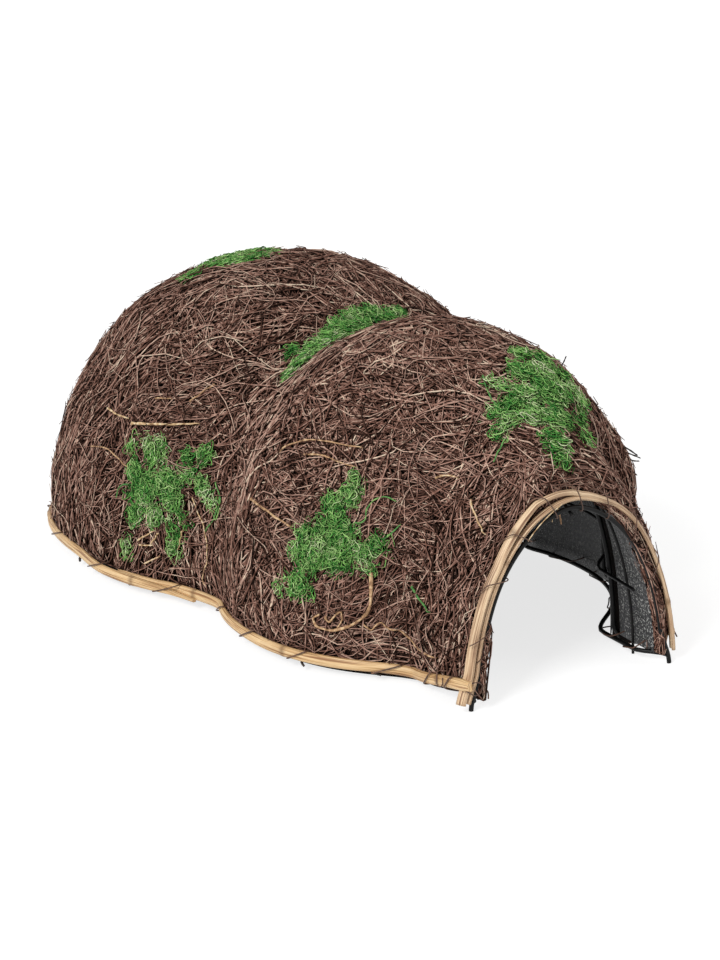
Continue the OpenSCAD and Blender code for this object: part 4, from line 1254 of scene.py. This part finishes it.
class HOUSE_OT_moss(bpy.types.Operator):
    """Tufts of sheet moss laid where the CAD cushions lie"""
    bl_idname = "house.moss"
    bl_label = "Moss"

    def execute(self, context):
        settings = context.scene.house_moss
        material = moss_material(settings)
        cloth = bpy.data.objects["house_skin"]
        tree = bpy.data.node_groups.get("Laid strands") or strand_tree()
        # Spots only a few millimetres wide need a finer bed than the skin
        fine = bpy.data.meshes.new("moss_bed")
        work = bmesh.new()
        work.from_mesh(cloth.data)
        bmesh.ops.subdivide_edges(work, edges=work.edges[:], cuts=1, use_grid_fill=True)
        work.to_mesh(fine)
        work.free()
        points = np.array([v.co for v in fine.vertices]) / MM
        normals = np.array([v.normal for v in fine.vertices])
        for i, node in enumerate(sorted(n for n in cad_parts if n.startswith("moss_"))):
            stand = 1.0
            if node in MOSS_SPOTS:
                stand, spots = MOSS_SPOTS[node]
                full = np.max([1 - np.sum((points - (x, s - MIDDLE_Y, z)) ** 2, axis=1) / reach ** 2
                               for x, s, z, reach in spots], axis=0)
            else:
                full = self.cushion_height(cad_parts[node].data, points, normals)
            full = full + 0.3 * lumps(points * 5.5, i) * (full > -0.5)
            bed = bpy.data.objects.new("moss_bed", fine.copy())
            context.scene.collection.objects.link(bed)
            set_floats(bed.data, "grow", np.clip(full * 3.5, 0, 1))
            set_floats(bed.data, "swell", stand * np.sqrt(np.clip(full, 0, 1)))
            # Fibres to the square metre, fewer on the hidden side
            density = 850000.0 if node in MOSS_SPOTS else 650000.0
            piece = grown(bed, tree, {
                "Skin": cloth, "Density": density,
                "Shortest": settings.fibre_short, "Longest": settings.fibre_long,
                "Bend": 0.8, "Curl": 1.1, "Wander": 0.009, "Turn": math.pi,
                "Bundle Turn": 0.5, "Bundle Size": 0.012,
                "Lowest": 0.0004, "Highest": 0.0074, "Weave": 0.0024, "Dive": -0.001,
                "Thinnest": 0.0006, "Thickest": 0.0011, "Points": 5, "Cells": 92, "Seed": 60 + i,
                "Material": material}, node + "_tuft")
            bpy.data.objects.remove(bed)
            settle(piece, "moss", node)
        return {"FINISHED"}

    @staticmethod
    def cushion_height(cushion, points, normals):
        """Height of the CAD cushion above each point of the skin, 1 at about its full thickness."""
        reach, full = 0.03, 0.009
        cushion.calc_loop_triangles()
        hull = BVHTree.FromPolygons([v.co.copy() for v in cushion.vertices],
                                    [tuple(t.vertices) for t in cushion.loop_triangles])
        height = np.full(len(points), -1.0)
        for k, (p, n) in enumerate(zip(points * MM, normals)):
            p, n = Vector(p), Vector(n)
            if hull.find_nearest(p, reach)[0] is not None:
                hit = hull.ray_cast(p + n * reach, -n, reach)
                height[k] = 0.0 if hit[0] is None else max(0.0, reach - hit[3]) / full
        return height


# Loose pieces seen in the photograph, by kind: thickness at both ends, then points on the skin as x, station
# and height; the hanging ones keep their own place
LOOSE = {
    "straw": (
        (1.7, 1.3, ((-162, 382, 123), (-162, 365, 122), (-159, 351, 122))),
        (2.4, 1.0, ((-159, 343, 120), (-154, 329, 122), (-147, 316, 124), (-138, 303, 126), (-129, 293, 128))),
        (1.6, 0.8, ((-173, 311, 40), (-169, 304, 45), (-165, 298, 50))),
        (1.4, 0.9, ((-173, 309, 37), (-167, 298, 39))),
        (1.5, 0.9, ((-164, 294, 49), (-166, 296, 44), (-168, 299, 40))),
        (1.3, 0.9, ((-171, 303, 24), (-168, 297, 28), (-164, 291, 32))),
        (1.2, 0.9, ((-153, 276, 54), (-154, 276, 47), (-156, 277, 40))),
        (0.9, 0.8, ((-145, 274, 79), (-144, 262, 68), (-144, 254, 58), (-146, 249, 43), (-147, 249, 34),
            (-149, 253, 26), (-148, 247, 17))),
        (1.5, 0.9, ((-61, 35, 131), (-63, 27, 125), (-64, 18, 119), (-65, 12, 115))),
        (1.4, 1.0, ((-68, 66, 138), (-63, 61, 141), (-60, 53, 141)))),
    "root": (
        (2.7, 1.3, ((-107, 82, 78), (-108, 80, 66), (-109, 79, 52), (-113, 82, 44), (-121, 90, 36),
            (-130, 99, 32), (-135, 107, 34), (-136, 110, 39), (-133, 106, 42))),
        (1.5, 1.0, ((-130, 102, 42), (-129, 100, 37), (-126, 96, 44), (-123, 93, 48), (-123, 92, 41),
            (-126, 95, 34))),
        (1.1, 1.2, ((-113, 82, 39), (-109, 78, 35), (-107, 76, 40), (-103, 74, 42), (-101, 71, 37),
            (-94, 65, 37), (-90, 60, 32), (-88, 53, 26), (-88, 33, 27))),
        (2.0, 1.3, ((-139, 192, 100), (-140, 173, 100), (-139, 154, 98), (-136, 138, 95))),
        (1.4, 0.9, ((-119, 151, 140), (-113, 134, 143), (-110, 123, 141), (-104, 109, 140))),
        (1.3, 0.9, ((-125, 179, 135), (-118, 165, 145), (-111, 144, 151), (-103, 123, 151), (-97, 111, 152))),
        (1.2, 0.9, ((-174, 392, 92), (-171, 364, 98), (-170, 345, 93), (-169, 336, 90))),
        (1.2, 0.9, ((-144, 333, 139), (-137, 321, 141))),
        (1.2, 0.9, ((-129, 307, 141), (-119, 303, 149), (-112, 300, 154)))),
    "moss": (
        (1.7, 1.0, ((-88, 62, 67), (-85, 57, 60), (-85, 43, 55))),
        (1.1, 0.8, ((-112, 96, 106), (-107, 90, 107), (-105, 92, 116), (-100, 90, 122), (-94, 85, 125),
            (-90, 79, 122))),
        (1.5, 0.8, ((-100, 79, 97), (-95, 76, 102), (-90, 73, 108))),
        (1.1, 0.8, ((-134, 258, 95), (-136, 244, 84), (-141, 248, 69), (-145, 255, 58))),
        (1.2, 0.9, ((-172, 331, 78), (-174, 338, 76), (-177, 340, 66))),
        (1.2, 0.8, ((-32, 39, 166), (-39, 36, 159), (-44, 34, 154))),
        (1.2, 0.8, ((-22, 63, 181), (-23, 73, 185), (-14, 94, 194)))),
    "hanging twig": (
        (2.6, 1.6, ((-184, 391, 7.5), (-188.5, 387, 6), (-190, 383, 4.5))),
        (2.8, 1.8, ((-176, 327, 7.5), (-179, 322, 6), (-178, 316, 4.5))),
        (2.2, 1.6, ((-153, 275, 7.5), (-156, 270, 6), (-154, 264, 5))),
        (2.2, 1.5, ((-138, 118, 7.5), (-142, 116, 6), (-142, 112, 4.5))),
        (2.0, 1.5, ((-107, 79, 7.5), (-109, 76, 6), (-106, 71, 5))),
        (1.7, 0.9, ((96, 94, 131), (106, 90, 127), (113, 85, 121))),
        (1.5, 0.8, ((99, 92, 126), (109, 88, 122), (115, 84, 119))),
        (1.4, 0.8, ((103, 91, 121), (110, 87, 117), (114, 84, 117))),
        (1.3, 0.8, ((106, 91, 112), (111, 88, 109), (114, 86, 106))),
        (1.2, 0.8, ((68, 120, 181), (72, 120, 187), (73, 119, 191)))),
    "hanging wire": (
        (0.8, 0.8, ((-90, 26, 23), (-93, 23, 16), (-94, 19, 13), (-93, 15, 15), (-92, 17, 20))),
        (0.8, 0.8, ((-88, -5, 18), (-82, -6, 13), (-77, -6, 15), (-76, -6, 20), (-80, -6, 23), (-85, -5, 22)))),
    "hanging root": (
        (1.4, 1.1, ((-16.7, 2, 129), (-13.3, 2, 121), (-12.3, 2, 115.5))),),
    "hanging straw": (
        (0.8, 0.6, ((-19.8, 1, 130), (-19.6, 1, 123), (-20.2, 1, 118.5))),
        (0.7, 0.6, ((-16.4, -3.5, 131), (-26.4, -4, 125.6), (-35.5, -4, 118.4), (-42.2, -4, 110.8))))}


class HOUSE_OT_loose(bpy.types.Operator):
    """Loose roots, straws, twigs, wire ends and moss wisps on the thatch"""
    bl_idname = "house.loose"
    bl_label = "Loose roots and straws"

    def execute(self, context):
        settings = context.scene.house_thatch
        cloth = bpy.data.objects["house_skin"]
        cover = BVHTree.FromObject(cloth, context.evaluated_depsgraph_get())
        looks = {"straw": root_material("pale_straw", "#8a6845", settings.straw, "#efdcba"),
                 "root": root_material("tan_root", "#6b4d33", settings.root, "#dcbd94"),
                 "twig": root_material("dark_twig_end", "#100c0a", "#241a14", "#3c2e25"),
                 "wire": bpy.data.materials["brown_binding_wire"],
                 "moss": root_material("green_moss_stem", "#2f5f28", "#4f8f45", "#8bb063")}
        for i, (kind, first, last, places) in enumerate(
                (kind, *row) for kind, rows in LOOSE.items() for row in rows):
            path = rounded(np.array(places, float) - (0, MIDDLE_Y, 0), 3)
            spread = np.linspace(0, 1, len(path))
            thick = (first + (last - first) * spread) * (1 + 0.18 * np.sin(spread * 31 + i))
            if "hanging" not in kind:
                for k, point in enumerate(path):
                    spot, normal = cover.find_nearest(Vector(point * MM))[:2]
                    lift = thick[k] / 2 + 1.8 * float(smooth(min(spread[k], 1 - spread[k]) * 8))
                    lift += 0.5 * math.sin(k * 0.7 + i)
                    path[k] = np.array(spot) / MM + np.array(normal) * lift
            piece = drawn_tube(f"loose_{kind.replace(' ', '_')}_{i}", path, thick, 7, looks[kind.split()[-1]])
            settle(piece, {"moss": "moss", "hanging wire": "lashing_wire"}.get(kind, "brushwood"))
        return {"FINISHED"}


class HOUSE_OT_thatch(bpy.types.Operator):
    """Brushwood laid over both domes, from a near-black sheet of painted shade up to loose twigs"""
    bl_idname = "house.thatch"
    bl_label = "Brushwood thatch"

    def execute(self, context):
        settings = context.scene.house_thatch
        bark = bark_material("dry_heath_twigs", [
            (0.0, settings.bark_dark), (0.22, "#553a30"), (0.45, settings.bark_brown), (0.68, "#bb9484"),
            (0.87, settings.bark_pale), (1.0, "#f4dcc2")], settings.flank_shade)
        # Darker copies of the bark for the deep and body layers: painted shade on twigs that lie under others
        deep = bark_material("shaded_heath_twigs", [
            (0.0, "#0a0604"), (0.5, "#251711"), (1.0, "#4a3229")], "#060302", 0.03)
        shade = bark_material("half_shaded_heath_twigs", [
            (0.0, "#120a07"), (0.3, "#35231b"), (0.6, "#65493c"), (1.0, "#9b7868")], settings.flank_shade, 0.03)
        cloth = bpy.data.objects["house_skin"]
        tree = bpy.data.node_groups.get("Laid strands") or strand_tree()
        columns = edge_columns(THATCH_FRONT, S2, 90, True)
        # A near-black sheet under the twigs is painted shade for the gaps between them
        mat = shell("thatch_mat", columns, 40, True, (7.5, 0), (THATCH, 1), gap_shade_material(), hem(columns) - 14)
        settle(mat, "brushwood", "front_thatch", "rear_thatch")
        station, rolled = (np.zeros(len(cloth.data.vertices)) for _ in range(2))
        cloth.data.attributes["station"].data.foreach_get("value", station)
        cloth.data.attributes["rolled"].data.foreach_get("value", rolled)
        layers = (
            # Name, strands, lengths in metres, thickness and lift in millimetres,
            # turn and bundle turn in degrees, bundle size in metres, bend,
            # weave and dive in millimetres, bark
            ("deep", 2500, (0.03, 0.08), (1.4, 2.2), (-6.4, -4.2), 80, 60, 0.05, 0.15, 0.8, 1.0, deep),
            ("body", 3200, (0.04, 0.11), (1.2, 1.9), (-4.4, -2.4), 46, 40, 0.045, 0.2, 0.8, 1.0, shade),
            ("weave", 3100, (settings.twig_short, settings.twig_long),
             (settings.twig_thin / MM, settings.twig_thick / MM),
             (-2.6, -0.6), 36, 46, 0.035, 0.25, 0.9, 1.2, bark),
            ("cover", 2500, (0.03, 0.11), (1.1, 1.9), (-0.8, 1.5), 36, 60, 0.03, 0.32, 0.9, 1.6, bark),
            ("stray", 700, (0.02, 0.06), (0.8, 1.3), (0.6, 2.6), 70, 60, 0.03, 0.4, 0.6, -2.2, bark))
        edge_layers = (
            ("deep", 1100, (0.012, 0.035), (1.2, 2.0), (-3.5, -1.8), 60, 60, 0.05, 0.2, 0.6, 1.0, shade),
            ("cover", 1300, (0.012, 0.04), (0.9, 1.6), (-1.8, 0.4), 40, 40, 0.03, 0.3, 0.7, 1.0, bark))
        # The twigs are finer on the rear dome, and short where the thatch rolls over the front edge
        front = station < WAIST_STATION
        for k, (dome, node, chosen, stout, stack) in enumerate((
                ("front", "front_thatch", front * (1 - rolled), 1.05 * MM, layers),
                ("rear", "rear_thatch", 1.0 - front, 0.92 * MM, layers),
                ("front_edge", "front_thatch", rolled, 0.95 * MM, edge_layers))):
            set_floats(cloth.data, "grow", chosen)
            faces = np.array([chosen[list(f.vertices)].mean() for f in cloth.data.polygons]) > 0.5
            area = area_of(cloth.data, faces)
            bed = bpy.data.objects.new(dome + "_bed", cloth.data)
            context.scene.collection.objects.link(bed)
            for i, row in enumerate(stack):
                layer, count, lengths, thick, lift, turn, bundle, size, bend, weave, dive, material = row
                piece = grown(bed, tree, {
                    "Skin": cloth, "Density": count / area, "Shortest": lengths[0], "Longest": lengths[1],
                    "Bend": bend, "Curl": bend * 1.2, "Wander": 0.007, "Turn": math.radians(turn),
                    "Bundle Turn": math.radians(bundle), "Bundle Size": size,
                    "Lowest": lift[0] * MM, "Highest": lift[1] * MM, "Weave": weave * MM, "Dive": dive * MM,
                    "Thinnest": thick[0] * stout, "Thickest": thick[1] * stout, "Points": 8,
                    "Cells": math.ceil(math.sqrt(count * 1.6)), "Seed": 11 + i + 10 * k,
                    "Material": material}, f"{dome}_thatch_{layer}")
                settle(piece, "brushwood", node)
            bpy.data.objects.remove(bed)
        return {"FINISHED"}


class HOUSE_PT_panel(bpy.types.Panel):
    """Lists the pieces of the house and their settings"""
    bl_idname = "HOUSE_PT_panel"
    bl_label = "Hedgehog house"
    bl_space_type = "VIEW_3D"
    bl_region_type = "UI"
    bl_category = "Hedgehog house"

    def draw(self, context):
        for operator in OPERATORS:
            self.layout.operator(operator.bl_idname)
        for name, group in SETTINGS.items():
            box = self.layout.box()
            for key in group.__annotations__:
                box.prop(getattr(context.scene, name), key)


SETTINGS = {"house_thatch": HouseThatch, "house_moss": HouseMoss,
            "house_frame": HouseFrame, "house_stage": HouseStage}
OPERATORS = (HOUSE_OT_stage, HOUSE_OT_wires, HOUSE_OT_liners, HOUSE_OT_canes,
             HOUSE_OT_lashings, HOUSE_OT_thatch, HOUSE_OT_moss, HOUSE_OT_loose)


def register():
    """Adds the settings, operators and panel to Blender."""
    for group in (*SETTINGS.values(), *OPERATORS, HOUSE_PT_panel):
        bpy.utils.register_class(group)
    for name, group in SETTINGS.items():
        setattr(bpy.types.Scene, name, bpy.props.PointerProperty(type=group))


def unregister():
    """Takes them away again."""
    for name in SETTINGS:
        delattr(bpy.types.Scene, name)
    for group in reversed((*SETTINGS.values(), *OPERATORS, HOUSE_PT_panel)):
        bpy.utils.unregister_class(group)


def main():
    """Builds the house piece by piece."""
    register()
    cloth = house_skin()
    bpy.ops.house.stage()
    bpy.ops.house.wires()
    bpy.ops.house.liners()
    bpy.ops.house.canes()
    bpy.ops.house.lashings()
    bpy.ops.house.thatch()
    bpy.ops.house.moss()
    bpy.ops.house.loose()
    bpy.data.objects.remove(cloth)


if __name__ == "__main__":
    main()
